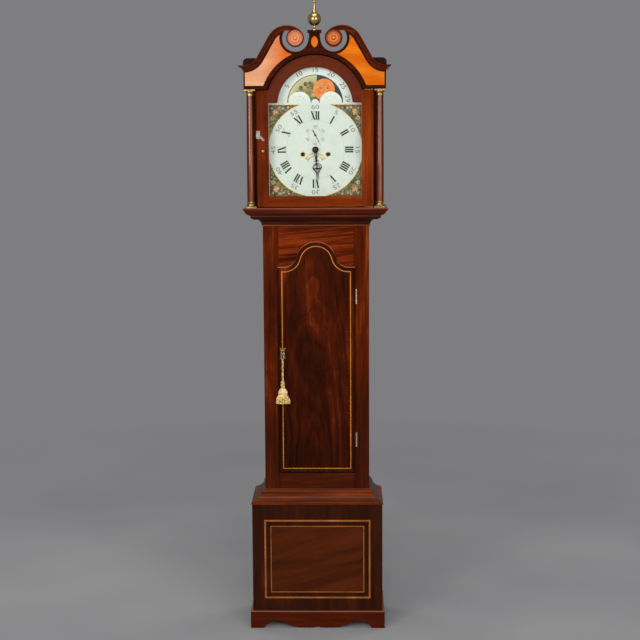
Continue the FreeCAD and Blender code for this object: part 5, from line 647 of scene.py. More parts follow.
def dress_hood():
    """Woods and glass of the hood."""
    dress("rosettes", rosette_wood("rosette_wood"))
    dress("pediment_inlay", satinwood("satinwood_inlay"))
    dress("hood_door_glass", clear_glass("hood_glass"))
    dress("hood_carcass", wood("mahogany_hood_side", MAHOGANY_DARK, height_darkening=ROOF_DARKENING, shift=(7.5, 2.0, 1.0)))
    dress("pediment_board finial_plinth", wood(
        "mahogany_pediment", MAHOGANY_DARK, grain="x", shift=(4.1, 0.4, 2.3)))
    dress("hood_base_molding", wood(
        "mahogany_rail", MAHOGANY, grain="x", top_highlight=0.2, sides=0.3, shine=0.10, coat=0.2,
        shift=(2.0, 1.0, 0.5)))
    dress("pediment_moldings", wood(
        "mahogany_neck", MAHOGANY, grain="x", top_highlight=0.2, gloss=0.14, shine=0.06, coat=0.3,
        shift=(8.0, 3.0, 0.7)))
    dress("hood_door_frame", wood(
        "mahogany_hood_door", MAHOGANY_GOLD, cross=HOOD_FIELD, tint=ARCH_TINT, figure=1.4, coat=0.15,
        shift=(4.0, 6.0, 0.2)))
    dress("hood_columns", wood(
        "mahogany_column", MAHOGANY_COLUMN_LIT, sides=0.85, gloss=0.14, shine=0.10, coat=0.6,
        shift=(0.4, 9.0, 3.0)))


def dress_works():
    """Metals, paints and gut of the fittings, the dial and the movement."""
    dress("bell finial hood_door_hardware lock_bolt pendulum_bob going_weight strike_weight going_pulley "
          "strike_pulley", metal("brass_polished", BRASS, 0.16, 0.36))
    dress("trunk_door_lock column_mounts", metal("brass_dull", BRASS_WORN, 0.26, 0.46, 140.0))
    dress("trunk_hinge_case_leaves trunk_hinge_door_leaves", metal("hinge_bright", HINGE, 0.35, 0.55, 160.0))
    dress("movement_frame center_wheel hour_wheel minute_wheel third_wheel escape_wheel going_great_wheel "
          "going_barrel strike_barrel strike_great_wheel pin_wheel",
          metal("brass_aged", BRASS_OLD, 0.35, 0.55))
    dress("hood_door_latch", metal("latch_silvered", SILVERED, 0.35, 0.55, 160.0))
    dress("minute_hand hour_hand seconds_hand", metal("steel_blued", BLUED, 0.3, 0.5, stops=BLUED_STOPS))
    dress("trunk_door_key anchor pendulum_rod hammer",
          metal("steel_bright", STEEL, 0.25, 0.45, stops=STEEL_STOPS))
    dress("dial_plate calendar_disc", enamel("dial_ground", EVEN, 30.0, DIAL, ARCH_LIGHT_SHARE))
    dress("moon_disc", moon_sky("moon_sky"))
    dress("going_line strike_line", silk("line_gut", EVEN, GUT))


# Objects and flat outlines

def mesh_from(name, bm):
    """Mesh from a finished sketch of faces."""
    mesh = bpy.data.meshes.new(name)
    bm.to_mesh(mesh)
    bm.free()
    return mesh


def linked(name, data):
    """New object in the scene."""
    piece = bpy.data.objects.new(name, data)
    bpy.context.collection.objects.link(piece)
    return piece


def painted(name, outlines, face, thick, material, body, lift=0.0):
    """Thin flat piece of outlines in (x, z), each proud of the face by a thickness and its lift."""
    bm = bmesh.new()
    for order, outline in enumerate(outlines):
        front = [bm.verts.new((x, face - thick - lift * order, z)) for x, z in outline]
        back = [bm.verts.new((x, face, z)) for x, z in outline]
        bm.faces.new(front)
        bm.faces.new(back[::-1])
        for index in range(len(outline)):
            after = (index + 1) % len(outline)
            bm.faces.new((front[after], front[index], back[index], back[after]))
    bmesh.ops.recalc_face_normals(bm, faces=bm.faces[:])
    piece = linked(name, mesh_from(name, bm))
    piece.data.materials.append(MATERIAL[material])
    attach(piece, body)


def on_dial(name, outlines, material, coats=1, lift=0.0):
    """Coats of paint or gold on the dial."""
    painted(name, outlines, DIAL_FACE, PAINT * coats, material, "case", lift)


def on_moon(name, outlines, material, coats=1, lift=0.0):
    """Coats of paint on the moon disc."""
    painted(name, outlines, MOON_FACE, MOON_PAINT * coats, material, "moon", lift)


def polar(center, radius, angle):
    """Point at a clockwise angle in degrees from twelve o'clock."""
    turn = radians(angle)
    return (center[0] + radius * sin(turn), center[1] + radius * cos(turn))


def round_outline(center, radius, count=40, squash=1.0, tilt=0.0):
    """Round or oval outline."""
    points = []
    for index in range(count):
        turn = 2 * pi * index / count
        x = radius * cos(turn)
        z = radius * squash * sin(turn)
        points.append((center[0] + x * cos(tilt) - z * sin(tilt),
                       center[1] + x * sin(tilt) + z * cos(tilt)))
    return points


def arc_strips(center, radius, width, start, end, steps):
    """Short four-sided pieces along an arc between two clockwise angles."""
    inner = radius - width / 2
    outer = radius + width / 2
    strips = []
    for index in range(steps):
        first = start + (end - start) * index / steps
        last = start + (end - start) * (index + 1) / steps
        strips.append([polar(center, inner, first), polar(center, outer, first),
                       polar(center, outer, last), polar(center, inner, last)])
    return strips


def strip(start, end, width):
    """Straight stroke between two points."""
    along = Vector((end[0] - start[0], end[1] - start[1]))
    side = Vector((-along.y, along.x)).normalized()
    x = side.x * width / 2
    z = side.y * width / 2
    return [(start[0] + x, start[1] + z), (end[0] + x, end[1] + z), (end[0] - x, end[1] - z),
            (start[0] - x, start[1] - z)]


def spoke(center, inner, outer, angle, width):
    """Straight stroke between two radii."""
    return strip(polar(center, inner, angle), polar(center, outer, angle), width)


def turned(outlines, center, radius, angle):
    """Upright outlines about the origin, set at a clockwise angle with their feet to the centre."""
    x0, z0 = polar(center, radius, angle)
    right = cos(radians(angle))
    down = sin(radians(angle))
    placed = []
    for outline in outlines:
        placed.append([(x0 + x * right + z * down, z0 - x * down + z * right) for x, z in outline])
    return placed


# Numerals: limbs, serifs and reach of the letters as shares of the height, the width or the thick limb
ROMAN = ("XII", "I", "II", "III", "IIII", "V", "VI", "VII", "VIII", "IX", "X", "XI")
LETTER_WIDTH = {"I": 0.27, "V": 0.54, "X": 0.54}
LIMB_THICK = 0.19
LIMB_THIN = 0.035
SERIF_THICK = 0.03
SERIF_REACH = 0.8
V_REACH = 0.36
V_FOOT = 0.1
X_REACH = 0.34
# Size of the font for digits of unit height
DIGIT_SIZE = 1.38


def roman_letter(letter, x, height):
    """Strokes of one Roman letter with thick and thin limbs and flat serifs."""
    thick = LIMB_THICK * height
    thin = LIMB_THIN * height
    half = height / 2
    wide = LETTER_WIDTH[letter] * height
    if letter == "I":
        limbs = [strip((x, -half), (x, half), thick)]
        feet = [(x, -half), (x, half)]
    elif letter == "V":
        left = (x - wide * V_REACH, half)
        right = (x + wide * V_REACH, half)
        foot = (x + thick * V_FOOT, -half)
        limbs = [strip(left, foot, thick), strip(right, foot, thin)]
        feet = [left, right]
    else:
        left = x - wide * X_REACH
        right = x + wide * X_REACH
        limbs = [strip((left, half), (right, -half), thick), strip((right, half), (left, -half), thin)]
        feet = [(left, half), (right, half), (left, -half), (right, -half)]
    reach = thick * SERIF_REACH
    return limbs + [strip((fx - reach, fz), (fx + reach, fz), SERIF_THICK * height) for fx, fz in feet]


def roman_numeral(text, height):
    """A whole hour numeral, centred."""
    x = -sum(LETTER_WIDTH[letter] for letter in text) * height / 2
    strokes = []
    for letter in text:
        wide = LETTER_WIDTH[letter] * height
        strokes += roman_letter(letter, x + wide / 2, height)
        x += wide
    return strokes


def digit_outlines(value, height, widen):
    """Flat outlines of upright digits about the origin, wider than the font has them."""
    curve = bpy.data.curves.new("digits", "FONT")
    curve.body = str(value)
    curve.align_x = "CENTER"
    curve.align_y = "CENTER"
    curve.size = height * DIGIT_SIZE
    curve.resolution_u = 3
    holder = linked("digits", curve)
    mesh = bpy.data.meshes.new_from_object(holder.evaluated_get(bpy.context.evaluated_depsgraph_get()))
    points = [(vertex.co.x * widen, vertex.co.y) for vertex in mesh.vertices]
    outlines = [[points[index] for index in face.vertices] for face in mesh.polygons]
    bpy.data.objects.remove(holder)
    bpy.data.curves.remove(curve)
    bpy.data.meshes.remove(mesh)
    return outlines


# Dial layout, in metres and degrees
PAINT = 0.00015
STROKE_LIFT = 0.000004
LINE = 0.0005
HOUR_TURN = 30.0
SECOND_TURN = 6.0
ROMAN_R = 0.1170
ROMAN_HEIGHT = 0.0280
INNER_R = 0.1000
SECONDS_CENTER = (0.0, DIAL_Z + 0.0500)
SECONDS_R = 0.0225
TICK = 0.0020
FIFTH_TICK = 0.0035
LUNAR_TURN = 5.9
FULL_MOON = 15
# Rings of digits: values, value at the top, degrees to a unit, centre, radius, height, widening
DIGIT_RINGS = (
    (range(5, 65, 5), 0, SECOND_TURN, DIAL_CENTER, 0.1455, 0.0150, 1.4),
    (range(10, 70, 10), 0, SECOND_TURN, SECONDS_CENTER, 0.0300, 0.0085, 1.2),
    ((5, 10, 15, 20, 25, 29), FULL_MOON, LUNAR_TURN, ARCH_CENTER, 0.1115, 0.0170, 1.1),
)

# Moon window with its two humps, which carry fine lines at shares of their radius
WINDOW_R = 0.0940
WINDOW_EDGE = 0.0012
EDGE_WIDTH = 0.0022
WINDOW_HALF = 89
DAY_MARK_OUT = 0.0055
DAY_MARK_R = 0.0008
HUMP_X = 0.0540
HUMP_R = 0.0380
HUMP_LINES = (-40, 0, 40)
HUMP_LINE_START = 0.2
HUMP_LINE_END = 0.9
HUMP_ARC = 0.6
HUMP_ARC_HALF = 80


def dial_numerals():
    """Hour numerals in full ink, and minute, seconds and lunar numerals in thin ink."""
    bold = []
    thin = []
    for hour, text in enumerate(ROMAN):
        bold += turned(roman_numeral(text, ROMAN_HEIGHT), DIAL_CENTER, ROMAN_R, hour * HOUR_TURN)
    for values, top, step, center, radius, height, widen in DIGIT_RINGS:
        for value in values:
            thin += turned(digit_outlines(value, height, widen), center, radius, (value - top) * step)
    on_dial("dial_hours", bold, "ink")
    on_dial("dial_numerals", thin, "ink_thin")


def dial_rings():
    """Thin printed circles, ticks of the seconds and fine lines on the humps of the moon window."""
    rings = arc_strips(DIAL_CENTER, INNER_R, LINE, 0, 360, 120)
    rings += arc_strips(SECONDS_CENTER, SECONDS_R, LINE, 0, 360, 60)
    for tick in range(60):
        angle = tick * SECOND_TURN
        end = SECONDS_R + (TICK if tick % 5 else FIFTH_TICK)
        rings.append(spoke(SECONDS_CENTER, SECONDS_R, end, angle, LINE))
    for side in (-1, 1):
        hump = (side * HUMP_X, ARCH_Z)
        for angle in HUMP_LINES:
            rings.append(spoke(hump, HUMP_R * HUMP_LINE_START, HUMP_R * HUMP_LINE_END, angle, LINE))
        rings += arc_strips(hump, HUMP_R * HUMP_ARC, LINE, -HUMP_ARC_HALF, HUMP_ARC_HALF, 24)
    on_dial("dial_rings", rings, "ink_pale")


def dial_window_edge():
    """Dark edge of the moon window and a dot for each day beside it."""
    radius = WINDOW_R + WINDOW_EDGE
    marks = arc_strips(ARCH_CENTER, radius, EDGE_WIDTH, -WINDOW_HALF, WINDOW_HALF, 70)
    for day in range(1 - FULL_MOON, FULL_MOON):
        place = polar(ARCH_CENTER, WINDOW_R + DAY_MARK_OUT, day * LUNAR_TURN)
        marks.append(round_outline(place, DAY_MARK_R, 8))
    on_dial("dial_window_edge", marks, "ink")


# Corners outside the chapter disc with their edges above and below its centre, and the gold lines
CHAPTER_R = 0.1630
CORNER_HALF = 0.1600
CORNER_TOP = 0.1540
CORNER_EDGE = {1: CORNER_TOP, -1: 0.1605}
CORNER_INNER = sqrt(CHAPTER_R ** 2 - CORNER_TOP ** 2)
CORNER_STEPS = 24
GOLD_COATS = 1.6
GOLD_WIDTH = 0.0020
GOLD_TOP_WIDTH = 0.0016
WINDING_X = 0.0440
WINDING_DROP = 0.0160
WINDING_R = 0.0085
WINDING_WIDTH = 0.0022
DATE_CENTER = (0.0, DIAL_Z - 0.0530)
DATE_R = 0.0360
DATE_HALF = 57.0
DATE_RIM = 0.0050
DATE_RIM_WIDTH = 0.0036
DATE_END = 0.0060
DATE_END_WIDTH = 0.0024


def corner_arc(sx, sz):
    """Edge of the chapter disc along one corner."""
    first = degrees(acos(CORNER_EDGE[sz] / CHAPTER_R))
    last = degrees(asin(CORNER_HALF / CHAPTER_R))
    points = []
    for step in range(CORNER_STEPS + 1):
        x, z = polar((0.0, 0.0), CHAPTER_R, first + (last - first) * step / CORNER_STEPS)
        points.append((sx * x, DIAL_Z + sz * z))
    return points


def dial_gilding():
    """Gold lines round the chapter disc, the winding holes and the date mouth, and over the upper corners."""
    gold = []
    top = DIAL_Z + CORNER_TOP
    for sx in (-1, 1):
        for sz in (-1, 1):
            edge = corner_arc(sx, sz)
            gold += [strip(start, end, GOLD_WIDTH) for start, end in zip(edge, edge[1:])]
        gold.append(strip((sx * CORNER_HALF, top), (sx * CORNER_INNER, top), GOLD_TOP_WIDTH))
    for x in (-WINDING_X, WINDING_X):
        gold += arc_strips((x, DIAL_Z - WINDING_DROP), WINDING_R, WINDING_WIDTH, 0, 360, 36)
    for radius in (DATE_R - DATE_RIM, DATE_R + DATE_RIM):
        gold += arc_strips(DATE_CENTER, radius, DATE_RIM_WIDTH, -DATE_HALF, DATE_HALF, 30)
    for side in (-DATE_HALF, DATE_HALF):
        gold.append(spoke(DATE_CENTER, DATE_R - DATE_END, DATE_R + DATE_END, side, DATE_END_WIDTH))
    on_dial("dial_gilding", gold, "gold", GOLD_COATS)


# Corner paintings
# Blooms of one corner: colours of the outer and inner petals, place from the dial's centre, size, petals
BLOOMS = (
    ("petal", "petal_pale", 0.1365, 0.1300, 0.0110, 7),
    ("petal_blue", "petal_pale", 0.1490, 0.1425, 0.0062, 5),
    ("petal_pale", "petal", 0.1480, 0.1080, 0.0072, 6),
    ("petal_blue", "petal_pale", 0.1120, 0.1420, 0.0070, 6),
    ("petal_pale", "petal", 0.1235, 0.1455, 0.0050, 5),
    ("petal", "petal_pale", 0.0930, 0.1455, 0.0046, 5),
    ("petal_blue", "petal_pale", 0.1520, 0.0900, 0.0042, 5),
    ("petal", "petal_pale", 0.1535, 0.0745, 0.0030, 5),
)
INNER_BLOOM = 0.60
HEART = 0.22
BLOOM_TILT = 17.0
INNER_TILT = 20.0
# Petals as shares of the flower's size: place of the middle, half length, and width over length
PETAL_OUT = 0.55
PETAL_HALF = 0.5
PETAL_SQUASH = 0.72
# Stems of one corner: start, and what is added up to the end
TOP_STEM = (0.1380, 0.1330, -0.0700, 0.0140)
SIDE_STEM = (0.1390, 0.1290, 0.0140, -0.0740)
# Leaves: pairs on a stem, size, its share at the start, its loss to the end, reach and how that changes
SPRIGS = 11
SPRIG_SIZE = 0.0125
SPRIG_START = 1.15
SPRIG_LOSS = 0.8
SPRIG_REACH = 0.9
SPRIG_CHANGE = 0.25
SPRIG_PACE = 2.4
# Lie of the leaves along and away from their stem, as shares of the reach
TOP_ALONG = 0.7
TOP_SPREAD = 0.6
SIDE_SPREAD = 0.5
LEAF_STEPS = 6
LEAF_SWELL = 0.8
LEAF_WIDTH = 0.34


def flower(center, size, petals, tilt):
    """Outlines of one open flower: petals in a ring."""
    outlines = []
    for index in range(petals):
        turn = tilt + 360.0 * index / petals
        middle = polar(center, size * PETAL_OUT, turn)
        outlines.append(round_outline(middle, size * PETAL_HALF, 14, PETAL_SQUASH, radians(90 - turn)))
    return outlines


def leaf(base, tip, width):
    """Pointed leaf between two points: up one side, and back down the other."""
    along = Vector((tip[0] - base[0], tip[1] - base[1]))
    side = Vector((-along.y, along.x)).normalized() * width / 2
    up = [(step, 1) for step in range(LEAF_STEPS + 1)]
    down = [(step, -1) for step in range(LEAF_STEPS - 1, 0, -1)]
    outline = []
    for step, flank in up + down:
        share = step / LEAF_STEPS
        swell = flank * sin(pi * share) ** LEAF_SWELL
        x = base[0] + along.x * share + side.x * swell
        z = base[1] + along.y * share + side.y * swell
        outline.append((x, z))
    return outline


def stem_point(stem, share):
    """Point at a share of a stem's length."""
    x, z, across, rise = stem
    return (x + across * share, z + rise * share)


def corner_sprigs(place):
    """Pairs of leaves along the two stems of one corner, smaller to the ends, dark and light in turn."""
    leaves = {"leaf": [], "leaf_pale": []}
    for step in range(SPRIGS):
        share = (step + 0.5) / SPRIGS
        size = SPRIG_SIZE * (SPRIG_START - SPRIG_LOSS * share)
        top = stem_point(TOP_STEM, share)
        side = stem_point(SIDE_STEM, share)
        pair = leaves["leaf" if step % 2 else "leaf_pale"]
        for turn in (-1, 1):
            reach = size * (SPRIG_REACH + SPRIG_CHANGE * sin(step * SPRIG_PACE + turn))
            top_tip = place(top[0] - reach * TOP_ALONG, top[1] + turn * reach * TOP_SPREAD)
            side_tip = place(side[0] + turn * reach * SIDE_SPREAD, side[1] - reach)
            pair.append(leaf(place(*top), top_tip, size * LEAF_WIDTH))
            pair.append(leaf(place(*side), side_tip, size * LEAF_WIDTH))
    return leaves


def corner_paintings():
    """Green-brown corners with a rose, two leafy stems and smaller flowers in each."""
    grounds = []
    layers = defaultdict(list)
    for sx in (-1, 1):
        for sz in (-1, 1):
            stretch = CORNER_EDGE[sz] / CORNER_TOP
            tilt = BLOOM_TILT * (sx + 2 * sz)

            def place(x, z):
                return (sx * x, DIAL_Z + sz * stretch * z)

            grounds.append(corner_arc(sx, sz) + [(sx * CORNER_HALF, DIAL_Z + sz * CORNER_EDGE[sz])])
            for key, outlines in corner_sprigs(place).items():
                layers[key, 2] += outlines
            for outer, inner, x, z, size, count in BLOOMS:
                center = place(x, z)
                layers[outer, 4] += flower(center, size, count, tilt)
                layers[inner, 6] += flower(center, size * INNER_BLOOM, count - 1, tilt + INNER_TILT)
                layers["heart", 8].append(round_outline(center, size * HEART, 12))
    on_dial("corner_grounds", grounds, "ground")
    for (key, coats), outlines in layers.items():
        on_dial("corner_" + key + "_" + str(coats), outlines, key, coats, lift=STROKE_LIFT)


# Moon disc: place of the moon from the arch's centre, and its features from its own middle
MOON_PAINT = 0.00006
MOON_X = 0.0310
MOON_RISE = 0.0455
MOON_R = 0.0370
CHEEK_X = 0.0165
CHEEK_Z = -0.0100
CHEEK_R = 0.0068
EYE_X = 0.0125
EYE_Z = 0.0040
EYE_R = 0.0022
# Arcs of the face: place of the centre, radius, width, first and last angle, steps
LID = (EYE_X, EYE_Z - 0.0020, 0.0058, 0.0008, -60, 60, 8)
BROW = (EYE_X, EYE_Z + 0.0010, 0.0082, 0.0009, -45, 45, 8)
NOSE = (0.0, 0.0040, 0.0120, 0.0006, 160, 200, 6)
MOUTH = (0.0, -0.0080, 0.0085, 0.0012, 140, 220, 8)
# Hills: angles at which they start and that they cover, heights from the arch's centre, waves of the crest
HILL_STARTS = (-84.0, 96.0)
HILL_ANGLE = 86.0
HILL_STEPS = 30
HILL_FLOOR = 0.022
HILL_CREST = 0.066
HILL_WAVES = ((0.007, 0.55), (0.003, 1.3))
# Trees: step of the hills and size of the crown; heights of foot and fork, width of the trunk; tufts
TREES = ((5, 0.0085), (9, 0.0060), (14, 0.0075), (20, 0.0080), (24, 0.0060))
TREE_FOOT = 0.056
TREE_FORK = 0.064
TREE_WIDTH = 0.0014
TUFTS = 6
TUFT_OUT = 0.55
TUFT_R = 0.45


def face_arc(center, side, arc):
    """One arc of the moon's face, on its right or left side."""
    x, z, radius, width, first, last, steps = arc
    return arc_strips((center[0] + side * x, center[1] + z), radius, width, first, last, steps)


def moon_face(center, name):
    """Round moon with a calm, simple face."""
    x, z = center
    cheeks = [round_outline((x + side * CHEEK_X, z + CHEEK_Z), CHEEK_R, 20) for side in (-1, 1)]
    lines = []
    for side in (-1, 1):
        lines.append(round_outline((x + side * EYE_X, z + EYE_Z), EYE_R, 12))
        lines += face_arc(center, side, LID) + face_arc(center, side, BROW)
    lines += face_arc(center, 1, NOSE) + face_arc(center, 1, MOUTH)
    on_moon(name + "_disc", [round_outline(center, MOON_R, 64)], "moon", 3)
    on_moon(name + "_cheeks", cheeks, "cheek", 4)
    on_moon(name + "_lines", lines, "ink", 5)


def hill_strips(start):
    """Low hills from one angle on, as strips from the floor to the crest."""
    crest = []
    foot = []
    for step in range(HILL_STEPS + 1):
        angle = start + HILL_ANGLE * step / HILL_STEPS
        height = HILL_CREST + sum(tall * sin(step * pace) for tall, pace in HILL_WAVES)
        crest.append(polar(ARCH_CENTER, height, angle))
        foot.append(polar(ARCH_CENTER, HILL_FLOOR, angle))
    return [[foot[step], crest[step], crest[step + 1], foot[step + 1]] for step in range(HILL_STEPS)]


def tree_outlines(start):
    """Round trees on the hills that start at one angle: a trunk and a ring of tufts each."""
    outlines = []
    for step, size in TREES:
        angle = start + HILL_ANGLE * step / HILL_STEPS
        top = polar(ARCH_CENTER, TREE_FORK + size, angle)
        outlines.append(spoke(ARCH_CENTER, TREE_FOOT, TREE_FORK + size, angle, TREE_WIDTH))
        for tuft in range(TUFTS):
            place = polar(top, size * TUFT_OUT, tuft * 360 / TUFTS + angle)
            outlines.append(round_outline(place, size * TUFT_R, 14))
    return outlines


def moon_scenes():
    """Two moons and two strips of low hills with round trees on the turning disc."""
    lean = degrees(atan2(MOON_X, MOON_RISE))
    reach = hypot(MOON_X, MOON_RISE)
    moon_face(polar(ARCH_CENTER, reach, lean), "moon_a")
    moon_face(polar(ARCH_CENTER, reach, lean + 180.0), "moon_b")
    hills = []
    trees = []
    for start in HILL_STARTS:
        hills += hill_strips(start)
        trees += tree_outlines(start)
    on_moon("moon_hills", hills, "hill")
    on_moon("moon_trees", trees, "tree", 2, STROKE_LIFT / 4)


# Tassel and its cord
KEY_X = (KEY_LOW[0] + KEY_HIGH[0]) / 2
CORD_Y = (CORD_LOW[1] + CORD_HIGH[1]) / 2
CORD_R = (CORD_HIGH[1] - CORD_LOW[1]) / 2
STRAND_X = 0.0017
LOOP_R = 0.0043
LOOP_SIDE = LOOP_R * 1.04
KEY_Z = CORD_HIGH[2] - LOOP_R - CORD_R
TASSEL_BOTTOM = TASSEL_LOW[2]
TASSEL_TOP = TASSEL_HIGH[2]
TASSEL_HALF = (TASSEL_HIGH[0] - TASSEL_LOW[0]) / 2 - 0.001
TASSEL_DEPTH = (TASSEL_HIGH[1] - TASSEL_LOW[1]) / (TASSEL_HIGH[0] - TASSEL_LOW[0])
# Body below the wound head: share of the half width, height, share of the ripple
BODY_SECTIONS = (
    (0.72, TASSEL_BOTTOM + 0.003, 1.0), (0.86, TASSEL_BOTTOM + 0.008, 1.0),
    (0.86, TASSEL_BOTTOM + 0.013, 1.0), (0.66, SKIRT_Z - 0.010, 1.0), (0.50, SKIRT_Z, 0.6),
    (0.58, SKIRT_Z + 0.004, 1.0), (0.60, SKIRT_Z + 0.010, 1.0), (0.46, RUFF_Z - 0.005, 0.8),
    (0.30, RUFF_Z, 0.2), (0.22, RUFF_Z + 0.002, 0.0),
)
BODY_SIDES = 96
BODY_RIPPLE = 0.06
HEAD_MARGIN = 0.002
HEAD_STEPS = 6
HEAD_HOLLOW = 0.24
HEAD_WIND = 0.27
HEAD_TOP = 0.12
# Rings of threads: name, heights of top and end, their shares of the half width, threads
STRANDS = (
    ("tassel_skirt", SKIRT_Z, TASSEL_BOTTOM + 0.0012, 0.52, 0.955, 110),
    ("tassel_ruff", RUFF_Z - 0.001, SKIRT_Z + 0.001, 0.28, 0.60, 70),
)
# Threads: radius, places along them, and the angle whose sine they follow: past a right angle they curl in
THREAD_R = 0.00085
THREAD_SHARES = (0.0, 0.25, 0.55, 0.85, 1.0)
THREAD_SWELL = radians(116)
SWELL_POWER = 0.8
SPREAD_LEAST = 0.90
TWIST = 0.10


def silk_piece(name, data):
    """New piece of silk that rides on the tassel."""
    piece = linked(name, data)
    data.materials.append(MATERIAL["silk"])
    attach(piece, "tassel")
    return piece


def thread_curve(name, radius, bevel, smooth, threads, caps=False):
    """Smooth round threads, each along its own points."""
    curve = bpy.data.curves.new(name, "CURVE")
    curve.dimensions = "3D"
    curve.bevel_depth = radius
    curve.bevel_resolution = bevel
    curve.resolution_u = smooth
    curve.use_fill_caps = caps
    for points in threads:
        spline = curve.splines.new("NURBS")
        spline.points.add(len(points) - 1)
        for point, place in zip(spline.points, points):
            point.co = (*place, 1.0)
        spline.order_u = 3
        spline.use_endpoint_u = True
    return silk_piece(name, curve)


def tassel_cord():
    """Cord looped round the key, on one smooth line."""
    low = CORD_LOW[2]
    middle = (low + KEY_Z) / 2
    neck = KEY_Z - 0.0100
    under = KEY_Z - 0.0030
    over = KEY_Z + LOOP_R * 0.9
    crest = KEY_Z + LOOP_R * 1.12
    side = [(STRAND_X, low), (STRAND_X, middle), (STRAND_X, neck), (LOOP_SIDE, under), (LOOP_SIDE, over)]
    route = [(-x, z) for x, z in side] + [(0.0, crest)] + side[::-1]
    points = [(KEY_X + x, CORD_Y, z) for x, z in route]
    cord = thread_curve("tassel_loop", CORD_R, bevel=4, smooth=8, threads=[points], caps=True)
    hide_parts("tassel_cord")
    return cord


def tassel_point(radius, turn, z):
    """Point on the oval tassel at an angle and a height."""
    return (KEY_X + radius * cos(turn), CORD_Y + radius * TASSEL_DEPTH * sin(turn), z)


def body_sections():
    """Radius, height and ripple of the tassel's core, and of the turns of its wound head."""
    sections = [(TASSEL_HALF * share, z, ripple) for share, z, ripple in BODY_SECTIONS]
    foot = RUFF_Z + HEAD_MARGIN
    tall = TASSEL_TOP - RUFF_Z - 2 * HEAD_MARGIN
    for turn in range(HEAD_STEPS + 1):
        share = HEAD_WIND if turn % 2 else HEAD_HOLLOW
        sections.append((TASSEL_HALF * share, foot + tall * turn / HEAD_STEPS, 0.0))
    return sections + [(TASSEL_HALF * HEAD_TOP, TASSEL_TOP, 0.0)]


def tassel_body():
    """Wound head and the core of the ruff and skirt, with the ripple of threads round it."""
    bm = bmesh.new()
    rings = []
    for radius, z, ripple in body_sections():
        ring = []
        for side in range(BODY_SIDES):
            turn = 2 * pi * side / BODY_SIDES
            dent = 1 - ripple * BODY_RIPPLE * (0.5 + 0.5 * cos(turn * BODY_SIDES / 4))
            ring.append(bm.verts.new(tassel_point(radius * dent, turn, z)))
        rings.append(ring)
    for lower, upper in zip(rings, rings[1:]):
        for side in range(BODY_SIDES):
            after = (side + 1) % BODY_SIDES
            bm.faces.new((lower[side], lower[after], upper[after], upper[side]))
    bm.faces.new(rings[0][::-1])
    bm.faces.new(rings[-1])
    bmesh.ops.recalc_face_normals(bm, faces=bm.faces[:])
    body = silk_piece("tassel_body", mesh_from("tassel_body", bm))
    body.data.shade_smooth()
    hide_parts("tassel")
    return body


def tassel_strands(name, top, bottom, top_share, bottom_share, count):
    """Ring of hanging threads between two heights, with shares of the tassel's half width."""
    top_r = TASSEL_HALF * top_share
    bottom_r = TASSEL_HALF * bottom_share
    threads = []
    for index in range(count):
        turn = 2 * pi * index / count
        spread = SPREAD_LEAST + (1.0 - SPREAD_LEAST) * random.random()
        points = []
        for share in THREAD_SHARES:
            swell = sin(share * THREAD_SWELL) ** SWELL_POWER
            radius = (top_r + (bottom_r - top_r) * swell) * (spread if share else 1.0)
            twist = turn + TWIST * (random.random() - 0.5) * share
            points.append(tassel_point(radius, twist, top + (bottom - top) * share))
        threads.append(points)
    return thread_curve(name, THREAD_R, bevel=1, smooth=4, threads=threads)


def tassel():
    """Wound head, ruff and skirt of threads."""
    return [tassel_body()] + [tassel_strands(*ring) for ring in STRANDS]


# Driving lines

def driving_lines():
    """Gut lines between the seatboard and the pulleys of the weights, copied from the frame's lines, which
    are hidden.
    """
    for side in ("going", "strike"):
        node = side + "_line"
        gut = linked(side + "_gut", NODES[node].data.copy())
        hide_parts(node)
        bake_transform(gut)


# Stage: camera in the picture's pixels, metres and degrees, and a floor that fades out between two radii
LENS_PIXELS = 1339.8
FRAME_PIXELS = 640.0
SENSOR = 36.0
CAMERA_DISTANCE = 4.679
CAMERA_HEIGHT = 1.7353
CAMERA_AZIMUTH = 1.2
CAMERA_PITCH = 7.64
CAMERA_ROLL = -0.33
CENTER_SHIFT = 0.0056
FLOOR_FADE_START = 1.2
FLOOR_R = 3.6
FLOOR_COLORS = ((138, 138, 141), (154, 154, 156))
SURROUNDINGS = (126, 126, 129)
LAMP_COLOR = (1.0, 0.99, 0.96)
# Lamps: name, place, point that it faces, size, watts, whether it shows in polished surfaces
LAMPS = (
    ("key_left", (-1.7, -3.3, 2.4), (0, 0, 1.9), 1.6, 62, True),
    ("fill_right", (1.7, -3.3, 2.3), (0, 0, 1.8), 1.8, 36, True),
    ("front", (0.1, -4.2, 1.9), (0, 0, 1.8), 1.2, 78, False),
    ("top", (0.0, -1.0, 4.2), (0, 0, 1.0), 2.0, 30, True),
    ("back_left", (-3.0, 2.4, 2.6), (0, 0, 1.2), 1.8, 40, False),
    ("back_right", (3.0, 2.4, 2.6), (0, 0, 1.2), 1.8, 40, False),
)


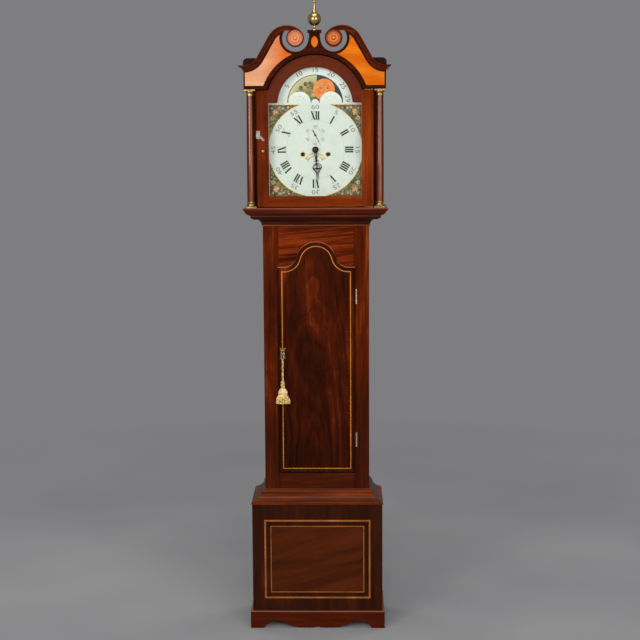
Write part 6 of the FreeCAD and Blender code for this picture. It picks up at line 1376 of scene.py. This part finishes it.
def camera():
    """Camera at the photograph's view."""
    lens = bpy.data.cameras.new("camera")
    lens.sensor_width = SENSOR
    lens.lens = LENS_PIXELS / FRAME_PIXELS * SENSOR
    lens.shift_x = CENTER_SHIFT
    eye = linked("camera", lens)
    azimuth = radians(CAMERA_AZIMUTH)
    across = CAMERA_DISTANCE * sin(azimuth)
    away = CAMERA_DISTANCE * cos(azimuth)
    eye.location = (across, DIAL_FACE - away, CAMERA_HEIGHT)
    look = Matrix.Rotation(azimuth, 4, "Z") @ Matrix.Rotation(radians(90.0 - CAMERA_PITCH), 4, "X")
    look = look @ Matrix.Rotation(radians(CAMERA_ROLL), 4, "Z")
    eye.rotation_euler = look.to_euler()
    bpy.context.scene.camera = eye


def area_light(name, place, target, size, power, mirrored):
    """Soft square lamp that faces a point. It shows in polished surfaces only if it is mirrored."""
    lamp = bpy.data.lights.new(name, "AREA")
    lamp.size = size
    lamp.energy = power
    lamp.color = LAMP_COLOR
    holder = linked(name, lamp)
    holder.location = place
    holder.rotation_euler = (Vector(target) - Vector(place)).to_track_quat("-Z", "Y").to_euler()
    holder.visible_glossy = mirrored
    holder.visible_transmission = mirrored


def floor():
    """Round pale floor that fades into the even surroundings."""
    paint = Paint("studio_paper", specular_ior_level=0.2)
    x, y, _ = paint.point()
    cloud = paint.noise(0.9, 2.0, 0.5)
    paint.set("base_color", paint.ramp(cloud, (0.3, 0.7), FLOOR_COLORS))
    paint.rough(cloud, 0.7, 0.85)
    paint.set("alpha", paint.shades(paint.distance(x, y), FLOOR_FADE_START, FLOOR_R, 1.0, 0.0))
    bm = bmesh.new()
    bm.faces.new([bm.verts.new((px, py, 0.0)) for px, py in round_outline((0.0, 0.0), FLOOR_R, 96)])
    ground = linked("studio_floor", mesh_from("studio_floor", bm))
    ground.data.materials.append(paint.material)


def studio():
    """Even surroundings, soft lamps and a plain picture of them."""
    world = bpy.data.worlds.new("studio")
    bpy.context.scene.world = world
    world.use_nodes = True
    background = world.node_tree.nodes["Background"]
    background.inputs["Color"].default_value = srgb(*SURROUNDINGS)
    background.inputs["Strength"].default_value = 1.0
    for lamp in LAMPS:
        area_light(*lamp)
    bpy.context.scene.view_settings.view_transform = "Standard"


dress_case()
dress_hood()
dress_works()
dial_numerals()
dial_rings()
dial_window_edge()
dial_gilding()
corner_paintings()
moon_scenes()
driving_lines()
loop = tassel_cord()
tassel_pieces = tassel()
floor()
studio()
camera()
